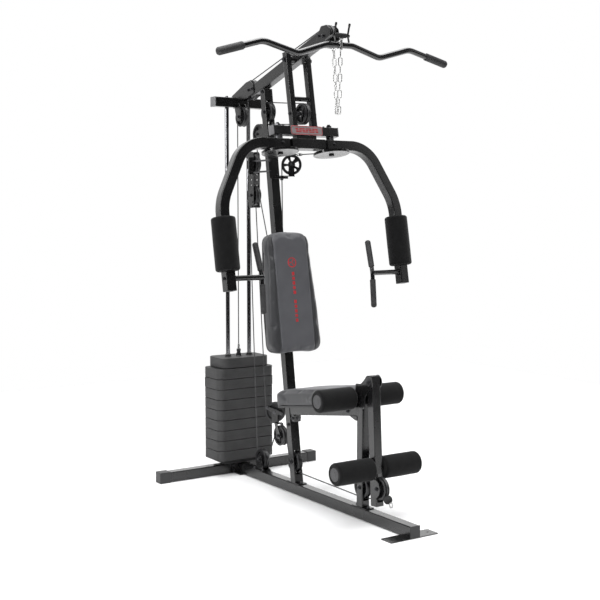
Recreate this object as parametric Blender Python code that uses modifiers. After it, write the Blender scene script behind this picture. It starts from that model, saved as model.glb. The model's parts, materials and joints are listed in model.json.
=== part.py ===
"""Multi station home gym: pin selected weight stack, lat bar, chest press with
butterfly arms, padded seat and back, and a leg lever.

Metres, +Z up. The user sits facing -Y and the weight stack stands at the back. Heights
are above the floor. Depths (y) in this file are measured from the centre line of the
rear stabiliser, and one empty then moves the whole gym so that its box is centred on
the origin.
"""

import math

import bmesh
import bpy
from mathutils import Matrix, Vector

# Driving dimensions
TO_CENTRE = 0.595         # moves the gym forward of its rear stabiliser's centre line
FIT = 0.0004              # gap between pieces that touch
WALL = 0.002              # tube wall
RAIL = 0.045              # base tube
TUBE = 0.038              # uprights, seat rail, press bar and lever
ARM_TUBE = 0.043          # butterfly arms
UPRIGHT_WIDTH = 0.043
RAIL_TOP = 0.048
LEAN = 8.2                # main upright and back pad, degrees from vertical
UPRIGHT_FOOT_Y = -0.4945
SEAT_RISE = 8.4           # seat rail, degrees
BOOM_RISE = 17.7
PRESS_LEAN = 10.25        # press frame at rest
CABLE_R = 0.0024

PULLEY_R = 0.045
GROOVE_R = 0.043          # radius at which a cable's centre runs
PULLEY_HALF = 0.011
BORE_R = 0.006
AXLE_R = 0.0055
CHEEK = 0.0135            # inner faces of the plates beside a pulley

# Pulley centres, (y, z)
BOOM_FRONT = (-0.720, 1.936)
BOOM_REAR = (-0.135, 1.772)
STACK = (-0.043, 1.659)
UPRIGHT_TOP = (-0.268, 1.664)
UPRIGHT_REAR = (-0.196, 1.572)
PRESS = (-0.540, 1.637)
BLOCK_TOP = (-0.145, 1.440)
BLOCK_BOTTOM = (-0.145, 1.300)
LOW_TOP = (-0.321, 0.333)
LOW_BOTTOM = (-0.367, 0.234)
UPRIGHT_LOW = (-0.480, 0.139)
BASE = (-0.210, 0.099)
POST = (-0.972, 0.129)
LEVER = (-1.086, 0.147)
SWIVEL_PIVOT = Vector((0.040, -0.314, 1.433))
SWIVEL_ALONG = Vector((0.831, -0.556, 0.0))
LOW_TOP_ALONG = Vector((0.7071, -0.7071, 0.0))
BRIDLE = SWIVEL_PIVOT + SWIVEL_ALONG * 0.078 + Vector((0, 0, 0.0445))

# Weight stack
PLATE_PITCH = 0.0477
PLATE_HALF = (0.1515, 0.079)
TOP_PLATE_HALF = (0.126, 0.073)
PLATE_CORNER = 0.030
STACK_BASE = 0.075
RESTING = 6
LIFTED = 3
ROD_X = 0.0575
ROD_R = 0.0098
STEM_R = 0.0075
PIN_R = 0.004

# Press and butterfly arms
PRESS_PIVOT = (-0.495, 1.865)
PRESS_BAR_DROP = 0.3074   # distances down the press frame from its pivot
CROSS_TUBE_DROP = 0.168
ARM_DROP = 0.367
ARM_INNER_R = 0.0452      # the arms' inner ends, rounded about their pivots
CAM_DROP = (0.391, 0.403)
FOAM_DROP = (0.672, 0.888)
ARM_END_DROP = 0.9654
HANDLE_DROP = 0.9176
FLY_X = 0.130
CAM_R = 0.078
ARM_X = 0.437
ARM_FORWARD = 0.008
ARM_FOAM_R = 0.0495
GRIP_R = 0.0125

# Lat bar
BAR_Y, BAR_Z, BAR_R = -0.800, 1.891, 0.0125
BAR_TILT = 1.6

# Leg lever
LEVER_PIVOT = (-1.035, 0.562)
LEVER_TOP = (-1.0365, 0.584)
LEVER_FOOT = (-1.0655, 0.074)
UPPER_ROLLER = (-0.940, 0.488)
LOWER_ROLLER = (-1.057, 0.222)
ROLLER_HALF = 0.202
FOAM_R = 0.045
ROLLER_TUBE_R = 0.0125


def clear_scene():
    for obj in list(bpy.data.objects):
        bpy.data.objects.remove(obj)


def collection(name):
    made = bpy.data.collections.new(name)
    bpy.context.scene.collection.children.link(made)
    return made


def material(name, colour, roughness, metallic=0.0):
    mat = bpy.data.materials.new(name)
    mat.use_nodes = True
    shader = mat.node_tree.nodes["Principled BSDF"]
    shader.inputs["Base Color"].default_value = (*colour, 1.0)
    shader.inputs["Roughness"].default_value = roughness
    shader.inputs["Metallic"].default_value = metallic
    return mat


clear_scene()
GYM = collection("home_gym")
DATUM = bpy.data.objects.new("gym_datum", None)
DATUM.location = (0.0, TO_CENTRE, 0.0)
GYM.objects.link(DATUM)

BLACK = material("black_paint", (0.018, 0.018, 0.020), 0.35)
FOAM = material("black_foam", (0.020, 0.020, 0.022), 0.80)
VINYL = material("grey_vinyl", (0.075, 0.075, 0.085), 0.55)
STACK_SHELL = material("stack_shell", (0.050, 0.050, 0.053), 0.60)
NYLON = material("pulley_nylon", (0.022, 0.022, 0.024), 0.40)
CHROME = material("bright_steel", (0.60, 0.60, 0.62), 0.20, 1.0)
CABLE = material("coated_cable", (0.10, 0.10, 0.105), 0.45)
SILVER = material("badge_silver", (0.62, 0.62, 0.64), 0.35, 0.6)


# Small modelling tools. Every piece is drawn where it stands and gets its origin last.

def mesh_object(bm):
    mesh = bpy.data.meshes.new("piece")
    bm.to_mesh(mesh)
    bm.free()
    obj = bpy.data.objects.new("piece", mesh)
    GYM.objects.link(obj)
    return obj


def as_mesh(obj):
    """Replaces an object's modifiers, or a curve, with the mesh they make."""
    bpy.context.view_layer.update()
    graph = bpy.context.evaluated_depsgraph_get()
    mesh = bpy.data.meshes.new_from_object(obj.evaluated_get(graph))
    bm = bmesh.new()
    bm.from_mesh(mesh)
    bm.transform(obj.matrix_world)
    bmesh.ops.remove_doubles(bm, verts=bm.verts, dist=0.00002)
    bmesh.ops.recalc_face_normals(bm, faces=bm.faces)
    bpy.data.objects.remove(obj)
    return mesh_object(bm)


def box(size, centre, turn=(0.0, 0.0, 0.0), edge=0.0):
    """A block turned by Euler degrees; edge rounds the four edges along its length."""
    bm = bmesh.new()
    bmesh.ops.create_cube(bm, size=1.0, matrix=Matrix.Diagonal((*size, 1.0)))
    if edge:
        along = max(range(3), key=lambda i: size[i])
        long_edges = [e for e in bm.edges
                      if abs(e.verts[0].co[along] - e.verts[1].co[along]) > 0.5 * size[along]]
        bmesh.ops.bevel(bm, geom=long_edges, offset=edge, segments=2, profile=0.5, affect="EDGES")
    spin = Matrix.Rotation(math.radians(turn[2]), 4, "Z")
    spin = spin @ Matrix.Rotation(math.radians(turn[0]), 4, "X")
    bm.transform(Matrix.Translation(centre) @ spin)
    return mesh_object(bm)


def cylinder(radius, length, centre, along=(1, 0, 0), sides=12):
    bm = bmesh.new()
    bmesh.ops.create_cone(bm, cap_ends=True, segments=sides, radius1=radius,
                          radius2=radius, depth=length)
    spin = Vector((0, 0, 1)).rotation_difference(Vector(along)).to_matrix().to_4x4()
    bm.transform(Matrix.Translation(centre) @ spin)
    return mesh_object(bm)


def slab(outline, thickness, place):
    """A flat outline in local XY with a thickness along local Z."""
    curve = bpy.data.curves.new("outline", "CURVE")
    curve.dimensions = "2D"
    curve.fill_mode = "BOTH"
    curve.extrude = thickness / 2
    spline = curve.splines.new("POLY")
    spline.points.add(len(outline) - 1)
    for point, (u, v) in zip(spline.points, outline):
        point.co = (u, v, 0.0, 1.0)
    spline.use_cyclic_u = True
    obj = bpy.data.objects.new("outline", curve)
    obj.matrix_world = place
    GYM.objects.link(obj)
    return as_mesh(obj)


def side_plate(outline, x, thickness):
    """A plate beside a pulley: outline in (y, z), centred on x."""
    place = Matrix(((0, 0, 1, x), (1, 0, 0, 0), (0, 1, 0, 0), (0, 0, 0, 1)))
    return slab(outline, thickness, place)


def rounded_rectangle(half_x, half_y, corner, steps=2):
    points = []
    for quarter in range(4):
        sx = 1 if quarter in (0, 3) else -1
        sy = 1 if quarter < 2 else -1
        for step in range(steps + 1):
            angle = math.radians(90 * quarter + 90 * step / steps)
            points.append((sx * (half_x - corner) + corner * math.cos(angle),
                           sy * (half_y - corner) + corner * math.sin(angle)))
    return points


def combine(target, operation, pieces):
    for piece in pieces:
        modifier = target.modifiers.new("combine", "BOOLEAN")
        modifier.operation = operation
        modifier.solver = "EXACT"
        modifier.object = piece
    made = as_mesh(target)
    for piece in pieces:
        bpy.data.objects.remove(piece)
    return made


def unite(target, *pieces):
    return combine(target, "UNION", pieces)


def cut(target, *tools):
    return combine(target, "DIFFERENCE", tools)


def beam(start, end, width, depth, wall=WALL, edge=0.004):
    """A rectangular tube between two (y, z) points, open at both ends."""
    dy, dz = end[0] - start[0], end[1] - start[1]
    length = math.hypot(dy, dz)
    turn = (math.degrees(math.atan2(-dy, dz)), 0, 0)
    centre = (0.0, (start[0] + end[0]) / 2, (start[1] + end[1]) / 2)
    outer = box((width, depth, length), centre, turn, edge)
    hollow = box((width - 2 * wall, depth - 2 * wall, length + 0.02), centre, turn)
    return cut(outer, hollow)


def cross_tube(half, size, y, z, turn=0.0):
    """A square tube along X, open at both ends."""
    outer = box((2 * half, size, size), (0, y, z), (turn, 0, 0), 0.004)
    hollow = box((2 * half + 0.02, size - 2 * WALL, size - 2 * WALL), (0, y, z), (turn, 0, 0))
    return cut(outer, hollow)


def axle(centre, half=0.022, x=0.0, radius=AXLE_R, head=0.009):
    """A bolt along X with a round head and a nut, as one list of solids."""
    y, z = centre
    solids = [cylinder(radius, 2 * half, (x, y, z), sides=12)]
    for side in (-1, 1):
        solids.append(cylinder(head, 0.006, (x + side * half, y, z), sides=6))
    return solids


def turned(profile, steps, closed=True):
    """A profile of (radius, height) points turned about local Z, running down outside."""
    bm = bmesh.new()
    verts = [bm.verts.new((r, 0.0, h)) for r, h in profile]
    pairs = list(zip(verts, verts[1:])) + ([(verts[-1], verts[0])] if closed else [])
    for a, b in pairs:
        bm.edges.new((a, b))
    obj = mesh_object(bm)
    screw = obj.modifiers.new("turn", "SCREW")
    screw.steps = screw.render_steps = steps
    screw.use_merge_vertices = True
    screw.merge_threshold = 0.00005
    return as_mesh(obj)


def filleted(points, radii, steps=5):
    """Rounds the inner corners of a line of points with arcs of the given radii."""
    path = [Vector(points[0])]
    for i in range(1, len(points) - 1):
        before, here, after = (Vector(points[j]) for j in (i - 1, i, i + 1))
        a, b = (before - here).normalized(), (after - here).normalized()
        radius = radii if isinstance(radii, float) else radii[i - 1]
        half = a.angle(b) / 2
        middle = (a + b).normalized()
        centre = here + middle * (radius / math.sin(half))
        start = (here + a * (radius / math.tan(half)) - centre).normalized()
        end = (here + b * (radius / math.tan(half)) - centre).normalized()
        for step in range(steps + 1):
            path.append(centre + radius * start.slerp(end, step / steps))
    path.append(Vector(points[-1]))
    return path


def swept(points, radius, resolution=2, smooth=True):
    """A round bar or cable along the points, kept as a curve."""
    curve = bpy.data.curves.new("swept", "CURVE")
    curve.dimensions = "3D"
    curve.bevel_depth = radius
    curve.bevel_resolution = resolution
    curve.use_fill_caps = True
    spline = curve.splines.new("POLY")
    spline.points.add(len(points) - 1)
    for point, co in zip(spline.points, points):
        point.co = (*co, 1.0)
    spline.use_smooth = smooth
    obj = bpy.data.objects.new("swept", curve)
    GYM.objects.link(obj)
    return obj


def swept_square(points, size, corner, place):
    """A square bar with rounded corners along a flat path in local XY."""
    rim = bpy.data.curves.new("rim", "CURVE")
    rim.dimensions = "2D"
    spline = rim.splines.new("POLY")
    half = size / 2
    outline = rounded_rectangle(half, half, corner, 2) if corner else [
        (half, half), (-half, half), (-half, -half), (half, -half)]
    spline.points.add(len(outline) - 1)
    for point, (u, v) in zip(spline.points, outline):
        point.co = (u, v, 0.0, 1.0)
    spline.use_cyclic_u = True
    rim_obj = bpy.data.objects.new("rim", rim)
    GYM.objects.link(rim_obj)
    path = bpy.data.curves.new("path", "CURVE")
    path.dimensions = "3D"
    path.twist_mode = "Z_UP"
    path.bevel_mode = "OBJECT"
    path.bevel_object = rim_obj
    path.use_fill_caps = True
    line = path.splines.new("POLY")
    line.points.add(len(points) - 1)
    for point, co in zip(line.points, points):
        point.co = (co[0], co[1], 0.0, 1.0)
    obj = bpy.data.objects.new("path", path)
    obj.matrix_world = place
    GYM.objects.link(obj)
    made = as_mesh(obj)
    bpy.data.objects.remove(rim_obj)
    return made


def add(obj, name, mat, origin=None, round_piece=False):
    """Names a finished piece, moves its origin and hangs it on the datum."""
    obj.name = name
    obj.data.name = name
    obj.data.materials.clear()
    obj.data.materials.append(mat)
    if origin is not None:
        obj.data.transform(Matrix.Translation(-Vector(origin)))
        obj.location = origin
    if obj.type == "MESH" and round_piece:
        obj.data.shade_smooth()
        obj.data.set_sharp_from_angle(angle=math.radians(35))
    obj.parent = DATUM
    return obj


# Cable routes

def belt(route, radius=GROOVE_R):
    """The taut line past points (y, z) and round wheels (y, z, turn), turn +1 or -1."""
    stops = [(Vector(item[:2]), radius, item[2]) if len(item) == 3
             else (Vector(item), 0.0, 0) for item in route]
    arrive, leave = [None] * len(stops), [None] * len(stops)
    for i in range(len(stops) - 1):
        (c1, r1, s1), (c2, r2, s2) = stops[i], stops[i + 1]
        line = c2 - c1
        k = (s2 * r2 - s1 * r1) / line.length
        ahead = line.normalized()
        left = Vector((-ahead.y, ahead.x))
        normal = ahead * k + left * math.sqrt(1 - k * k)
        leave[i] = c1 - normal * (s1 * r1)
        arrive[i + 1] = c2 - normal * (s2 * r2)
    path = []
    for (centre, r, turn), start, end in zip(stops, arrive, leave):
        if not turn:
            path.append(centre)
            continue
        a = math.atan2(*reversed((start - centre)[:]))
        b = math.atan2(*reversed((end - centre)[:])) if end else a + turn * math.radians(80)
        sweep = (b - a) * turn % (2 * math.pi)
        count = max(2, math.ceil(math.degrees(sweep) / 18))
        for step in range(count + 1):
            angle = a + turn * sweep * step / count
            path.append(centre + r * Vector((math.cos(angle), math.sin(angle))))
    return [(0.0, y, z) for y, z in path]


def wheel_arc(centre, along, start, end):
    """Points round a wheel whose plane holds Z and the level direction along."""
    count = max(2, math.ceil(abs(end - start) / 18))
    for step in range(count + 1):
        angle = math.radians(start + (end - start) * step / count)
        yield centre + GROOVE_R * (along * math.cos(angle) + Vector((0, 0, math.sin(angle))))


def upright_y(z):
    """Depth of the leaning upright's centre line at a height."""
    return UPRIGHT_FOOT_Y + math.tan(math.radians(LEAN)) * (z - 0.055)


def down_press(distance, x=0.0, forward=0.0):
    """A point on the press frame: distance down from its pivot, and forward of its plane."""
    lean = math.radians(PRESS_LEAN)
    y = PRESS_PIVOT[0] - math.sin(lean) * distance - math.cos(lean) * forward
    z = PRESS_PIVOT[1] - math.cos(lean) * distance + math.sin(lean) * forward
    return Vector((x, y, z))


PRESS_UP = (down_press(0) - down_press(1)).normalized()
PRESS_PLANE = Matrix.LocRotScale(down_press(0, forward=ARM_FORWARD), None, None) @ Matrix((
    (1, 0, 0, 0), (0, -PRESS_UP.y, -PRESS_UP.z, 0), (0, -PRESS_UP.z, PRESS_UP.y, 0), (0, 0, 0, 1)))


def build_base():
    sleeve = RAIL + 0.0055
    middle = sleeve / 2
    tube = box((0.853, RAIL, RAIL), (0, 0, middle), edge=0.004)
    sleeves = [box((0.053, sleeve, sleeve), (side * 0.400, 0, middle)) for side in (-1, 1)]
    tube = unite(tube, *sleeves)
    tube = cut(tube, box((0.9, RAIL - 2 * WALL, RAIL - 2 * WALL), (0, 0, middle)))
    add(tube, "rear_stabiliser", BLACK, (0, 0, middle))

    rail = beam((-RAIL / 2 - FIT, RAIL_TOP - RAIL / 2), (-1.300, RAIL_TOP - RAIL / 2), RAIL, RAIL)
    foot = box((0.230, 0.066, 0.0035), (0, -1.267, 0.00175))
    cheeks = [side_plate([(-0.238, 0.046), (-0.182, 0.046), (-0.190, 0.115), (-0.230, 0.115)],
                         side * (CHEEK + 0.002), 0.004) for side in (-1, 1)]
    rail = unite(rail, foot, *cheeks, *axle(BASE))
    add(rail, "base_rail", BLACK, (0, -0.66, RAIL_TOP))


def build_upright():
    foot, head = 0.02, 1.84
    post = beam((upright_y(foot), foot), (upright_y(head), head), UPRIGHT_WIDTH, TUBE, edge=0.003)
    under_boom = box((0.2, 1.0, 0.2), (0, upright_y(1.77), 1.8655), (-BOOM_RISE, 0, 0))
    below_rail = box((0.2, 0.4, 0.2), (0, UPRIGHT_FOOT_Y, RAIL_TOP + FIT - 0.1))
    slots = [box((2 * CHEEK, 0.14, 0.104), (0, *UPRIGHT_LOW)),
             box((2 * CHEEK, 0.14, 0.124), (0, UPRIGHT_TOP[0], UPRIGHT_TOP[1] - 0.010))]
    post = cut(post, under_boom, below_rail, *slots)
    around = [(-0.068, 0.026), (-0.076, -0.029), (-0.009, -0.014), (0.012, -0.006), (0.012, 0.008),
              (-0.009, 0.014)]
    outline = [(UPRIGHT_REAR[0] + y, UPRIGHT_REAR[1] + z) for y, z in around]
    rear_cheeks = [side_plate(outline, side * (CHEEK + 0.0015), 0.003) for side in (-1, 1)]
    tabs = []
    for z in (0.730, 1.010):
        front = upright_y(z) - TUBE / 2
        tabs.append(box((0.030, 0.009, 0.050), (0, front - 0.0010, z), (-LEAN, 0, 0)))
    bolts = axle(UPRIGHT_LOW, half=0.0245) + axle(UPRIGHT_TOP, half=0.0245) + axle(UPRIGHT_REAR, half=0.019)
    post = unite(post, *rear_cheeks, *tabs, *bolts)
    add(post, "main_upright", BLACK, (0, upright_y(RAIL_TOP), RAIL_TOP))


def build_seat_frame():
    post = beam((POST[0], RAIL_TOP + FIT), (POST[0], 0.4700), TUBE, TUBE)
    post = cut(post, box((2 * CHEEK, 0.1, 0.104), (0, *POST)))

    rise = math.tan(math.radians(SEAT_RISE))
    start, end = -0.47, -0.98
    rail = beam((start, 0.3625), (end, 0.3625 + rise * (start - end)), TUBE, TUBE)
    behind = box((0.1, 0.1, 0.3), (0, upright_y(0.36) - TUBE / 2 + 0.0494, 0.36), (-LEAN, 0, 0))
    before = box((0.1, 0.1, 0.3), (0, POST[0] + TUBE / 2 - 0.051, 0.42))
    frame = unite(post, cut(rail, behind, before), *axle(POST))
    add(frame, "seat_frame", BLACK, (0, POST[0], RAIL_TOP))

    ear = [(-0.918, 0.470), (-0.918, 0.506), (-0.932, 0.514), (-0.950, 0.515), (-0.950, 0.547),
           (-0.985, 0.549), (-1.012, 0.572), (-1.022, 0.583), (-1.040, 0.586), (-1.054, 0.576),
           (-1.058, 0.560), (-1.054, 0.545), (-1.042, 0.536), (-1.012, 0.500), (-1.012, 0.452),
           (-0.954, 0.452), (-0.954, 0.466)]
    plates = [side_plate(ear, side * 0.0222, 0.0035) for side in (-1, 1)]
    web = box((0.0440, 0.060, 0.004), (0, -0.981, 0.4725))
    back = box((0.0440, 0.004, 0.050), (0, -0.9535, 0.4960))
    bracket = unite(plates[0], plates[1], web, back, *axle(LEVER_PIVOT, half=0.029, radius=0.008,
                                                           head=0.012))
    bracket = cut(bracket, cylinder(ROLLER_TUBE_R + FIT, 0.1, (0, *UPPER_ROLLER), sides=20))
    add(bracket, "lever_bracket", BLACK, (0, -0.98, 0.47))


def build_boom():
    rise = math.tan(math.radians(BOOM_RISE))
    start, end, half = -0.146, -0.700, 0.02624
    top = 1.815 + rise * (-0.233 - start) - half
    boom = beam((start, top), (end, top + rise * (start - end)), TUBE, 0.050)
    slots = [box((2 * CHEEK, 0.10, 0.15), (0, BOOM_REAR[0] - 0.005, BOOM_REAR[1])),
             box((2 * CHEEK, 0.10, 0.15), (0, BOOM_FRONT[0] - 0.002, BOOM_FRONT[1]))]
    boom = cut(boom, *slots)
    sleeve = cylinder(0.016, 0.072, (0, *PRESS_PIVOT))
    boom = unite(boom, sleeve, *axle(PRESS_PIVOT, half=0.070, radius=0.008, head=0.013))
    add(boom, "top_boom", BLACK, (0, *PRESS_PIVOT))

    outline = [(0.020, 1.748), (0.012, 1.757), (-0.120, 1.807), (-0.148, 1.807), (-0.176, 1.792),
               (-0.176, 1.756), (-0.110, 1.735), (-0.0225, 1.735), (-0.0225, 1.748)]
    plates = [side_plate(outline, side * 0.0210, 0.0032) for side in (-1, 1)]
    web = box((0.043, 0.040, 0.004), (0, 0.0, 1.7499))
    bracket = unite(plates[0], plates[1], web, *axle(BOOM_REAR, half=0.024))
    add(bracket, "boom_rear_bracket", BLACK, (0, 0, 1.748))

    outline = [(-0.672, 1.908), (-0.672, 1.950), (-0.690, 1.972), (-0.702, 1.985), (-0.730, 1.988),
               (-0.752, 1.978), (-0.768, 1.952), (-0.766, 1.905), (-0.740, 1.884)]
    plates = [side_plate(outline, side * 0.0210, 0.0032) for side in (-1, 1)]
    web = box((0.043, 0.030, 0.003), (0, -0.716, 1.9858))
    arm_rods = [swept([(side * 0.0215, -0.745, 1.918), (side * 0.0300, -0.790, 1.926),
                       (side * 0.0330, -0.812, 1.928)], 0.0055) for side in (-1, 1)]
    rail = cylinder(0.0065, 0.078, (0, -0.813, 1.928), sides=12)
    prongs = [swept(filleted([(side * 0.033, -0.819, 1.957), (side * 0.033, -0.813, 1.930),
                              (side * 0.033, -0.820, 1.903)], 0.010, 3), 0.0040)
              for side in (-1, 1)]
    rods = [as_mesh(rod) for rod in arm_rods + prongs]
    bracket = unite(plates[0], plates[1], web, *axle(BOOM_FRONT, half=0.024), *rods, rail)
    add(bracket, "boom_head_bracket", BLACK, (0, *BOOM_FRONT))


def build_guides():
    bar = cross_tube(0.1285, 0.0445, 0.0, 1.7253)
    hanger = [side_plate([(-0.058, 1.648), (-0.028, 1.648), (-0.004, 1.690), (-0.004, 1.710),
                          (-0.040, 1.7225), (-0.058, 1.690)], side * (CHEEK + 0.002), 0.004)
              for side in (-1, 1)]
    add(unite(bar, *hanger, *axle(STACK)), "rod_crossbar", BLACK, (0, 0, 1.7253))

    low, high = RAIL_TOP + 0.0025, 1.7253 - 0.0445 / 2 - FIT
    for side, word in ((-1, "left"), (1, "right")):
        rod = cylinder(ROD_R, high - low, (side * ROD_X, 0, (low + high) / 2), (0, 0, 1), 20)
        add(rod, "guide_rod_" + word, CHROME, (side * ROD_X, 0, low), True)

    height = STACK_BASE - 0.0006 - low - FIT
    bumper = box((0.220, 0.110, height), (0, 0, low + FIT + height / 2), edge=0.006)
    holes = [cylinder(ROD_R + 0.0008, 0.1, (side * ROD_X, 0, 0.07), (0, 0, 1)) for side in (-1, 1)]
    add(cut(bumper, *holes), "stack_bumper", FOAM, (0, 0, 0.07))


def rod_holes(z, height):
    return [cylinder(ROD_R + 0.0012, height, (side * ROD_X, 0, z), (0, 0, 1), 20)
            for side in (-1, 1)]


def plate_holes(z, height):
    return rod_holes(z, height) + [cylinder(STEM_R + 0.0012, height, (0, 0, z), (0, 0, 1))]


def weight_plate(half, low, high):
    outline = rounded_rectangle(half[0], half[1], PLATE_CORNER)
    return slab(outline, high - low, Matrix.Translation((0, 0, (low + high) / 2)))


def build_stack():
    low = STACK_BASE
    core = (PLATE_HALF[0] - 0.004, PLATE_HALF[1] - 0.004)
    group = weight_plate(core, low + 0.002, low + RESTING * PLATE_PITCH - 0.002)
    layers = [weight_plate(PLATE_HALF, low + i * PLATE_PITCH + 0.0003,
                           low + (i + 1) * PLATE_PITCH - 0.0009) for i in range(RESTING)]
    group = cut(unite(group, *layers), *plate_holes(low + 0.14, 0.4))
    add(group, "resting_plates", STACK_SHELL, (0, 0, low))

    low += RESTING * PLATE_PITCH
    pin_z = low + PLATE_PITCH / 2
    for i in range(LIFTED):
        number = LIFTED - i
        plate = weight_plate(PLATE_HALF, low + 0.0003, low + PLATE_PITCH - 0.0005)
        plate = cut(plate, *plate_holes(low, 0.2))
        if number == LIFTED:
            plate = cut(plate, cylinder(PIN_R + 0.0005, 0.14, (0, 0.05, pin_z), (0, 1, 0), 16))
        add(plate, "weight_plate_%d" % number, STACK_SHELL, (0, 0, low))
        low += PLATE_PITCH

    top = weight_plate(TOP_PLATE_HALF, low + 0.0003, low + PLATE_PITCH)
    top = cut(top, *rod_holes(low, 0.2))
    stem = cylinder(STEM_R, 0.512, (0, 0, 0.338), (0, 0, 1))
    collar = cylinder(0.013, 0.030, (0, 0, low + PLATE_PITCH + 0.014), (0, 0, 1), 6)
    stem = cut(stem, cylinder(PIN_R + 0.0005, 0.04, (0, 0, pin_z), (0, 1, 0), 16))
    add(unite(top, stem, collar), "top_plate", STACK_SHELL, (0, 0, low))

    knob = turned([(0.0, 0.112), (0.009, 0.111), (0.012, 0.106), (0.011, 0.090), (0.007, 0.082),
                   (PIN_R, 0.0815), (PIN_R, -0.012), (0.0, -0.012)], 16, closed=False)
    knob.data.transform(Matrix.Translation((0, 0, pin_z)) @ Matrix.Rotation(-math.pi / 2, 4, "X"))
    add(knob, "selector_pin", CHROME, (0, 0.0815, pin_z), True)


def build_pads():
    rise = math.radians(SEAT_RISE)
    depth, thick = 0.365, 0.0670
    rear_low = Vector((0, -0.527, 0.3957))
    along = Vector((0, -math.cos(rise), math.sin(rise)))
    up = Vector((0, math.sin(rise), math.cos(rise)))
    centre = rear_low + along * depth / 2 + up * thick / 2
    place = Matrix.Translation(centre) @ Matrix.Rotation(-rise, 4, "X")
    seat = slab(rounded_rectangle(0.149, depth / 2, 0.034), thick, place)
    add(seat, "seat_pad", VINYL, centre)

    lean = math.radians(LEAN + 0.6)
    length, thick = 0.536, 0.062
    centre = Vector((0, -0.4376, 0.8755))
    taper = [(0.138, -length / 2 + 0.035), (0.138, -0.10), (0.111, length / 2 - 0.06),
             (0.102, length / 2 - 0.025), (0.074, length / 2)]
    taper = [(0.094, -length / 2), (0.126, -length / 2 + 0.010)] + taper
    outline = taper + [(-x, v) for x, v in reversed(taper)]
    place = Matrix.Translation(centre) @ Matrix.Rotation(math.pi / 2 - lean, 4, "X")
    back = slab(outline, thick, place)
    add(back, "backrest_pad", VINYL, centre)


def roller_foam(length, bore):
    half, round_off = length / 2, 0.005
    return turned([(bore, half), (FOAM_R - round_off, half), (FOAM_R, half - round_off),
                   (FOAM_R, round_off - half), (FOAM_R - round_off, -half), (bore, -half)], 20)


def build_rollers():
    for word, centre, inner in (("upper", UPPER_ROLLER, 0.032), ("lower", LOWER_ROLLER, 0.0245)):
        tube = cylinder(ROLLER_TUBE_R, 2 * ROLLER_HALF - 0.004, (0, *centre), sides=20)
        add(tube, word + "_roller_tube", BLACK, (0, *centre), True)
        for side, hand in ((-1, "left"), (1, "right")):
            foam = roller_foam(ROLLER_HALF - inner, ROLLER_TUBE_R + FIT)
            middle = Vector((side * (ROLLER_HALF + inner) / 2, *centre))
            turn = Matrix.Rotation(math.pi / 2, 4, "Y")
            foam.data.transform(Matrix.Translation(middle) @ turn)
            add(foam, "%s_foam_%s" % (word, hand), FOAM, middle, True)


def build_lever():
    lever = beam(LEVER_TOP, LEVER_FOOT, TUBE, TUBE)
    fork = box((2 * CHEEK, 0.14, 0.112), (0, -1.08, 0.147))
    holes = [cylinder(0.0086, 0.1, (0, *LEVER_PIVOT)),
             cylinder(ROLLER_TUBE_R + FIT, 0.1, (0, *LOWER_ROLLER), sides=20)]
    lever = cut(lever, fork, *holes)
    ear = [(-1.056, 0.108), (-1.092, 0.118), (-1.104, 0.135), (-1.106, 0.155), (-1.094, 0.176),
           (-1.056, 0.190)]
    ears = [side_plate(ear, side * 0.0182, 0.0036) for side in (-1, 1)]
    lever = unite(lever, *ears, *axle(LEVER))
    add(lever, "leg_lever", BLACK, (0, *LEVER_PIVOT))


def build_press():
    leg_width, leg_depth, leg_x = 0.0255, 0.030, 0.04975
    legs = []
    for side in (-1, 1):
        top, foot = down_press(-0.028), down_press(0.298)
        leg = beam(top.yz, foot.yz, leg_width, leg_depth)
        leg.data.transform(Matrix.Translation((side * leg_x, 0, 0)))
        legs.append(cut(leg, cylinder(0.0086, 0.3, (0, *PRESS_PIVOT))))
    bar = cross_tube(0.164, TUBE, *down_press(PRESS_BAR_DROP).yz, turn=-PRESS_LEAN)
    cross = cylinder(0.010, 0.090, down_press(CROSS_TUBE_DROP), sides=14)
    neck = box((0.100, 0.030, 0.060), down_press(0.3480), (-PRESS_LEAN, 0, 0))
    block = box((0.168, 0.0475, 0.042), down_press(ARM_DROP - 0.0015, forward=0.0070),
                (-PRESS_LEAN, 0, 0))
    posts = []
    for side in (-1, 1):
        x = side * FLY_X
        posts.append(cylinder(0.010, 0.132, down_press(0.3530, x), PRESS_UP))
        posts.append(cylinder(0.017, 0.0190, down_press(0.3352, x), PRESS_UP))
        posts.append(cylinder(0.017, 0.008, down_press(0.4120, x), PRESS_UP, 6))
        posts.append(cylinder(0.014, 0.008, down_press(0.2858, x), PRESS_UP, 6))
    bolt = axle(PRESS, half=0.0640)
    frame = unite(bar, *legs, cross, neck, block, *posts, *bolt)
    add(frame, "press_frame", BLACK, (0, *PRESS_PIVOT))

    face = down_press(PRESS_BAR_DROP, forward=TUBE / 2 + 0.0020)
    place = Matrix.Translation(face) @ Matrix.Rotation(math.radians(90 - PRESS_LEAN), 4, "X")
    badge = slab(rounded_rectangle(0.080, 0.020, 0.010), 0.0030, place)
    add(badge, "badge_plate", SILVER, face)


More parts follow.
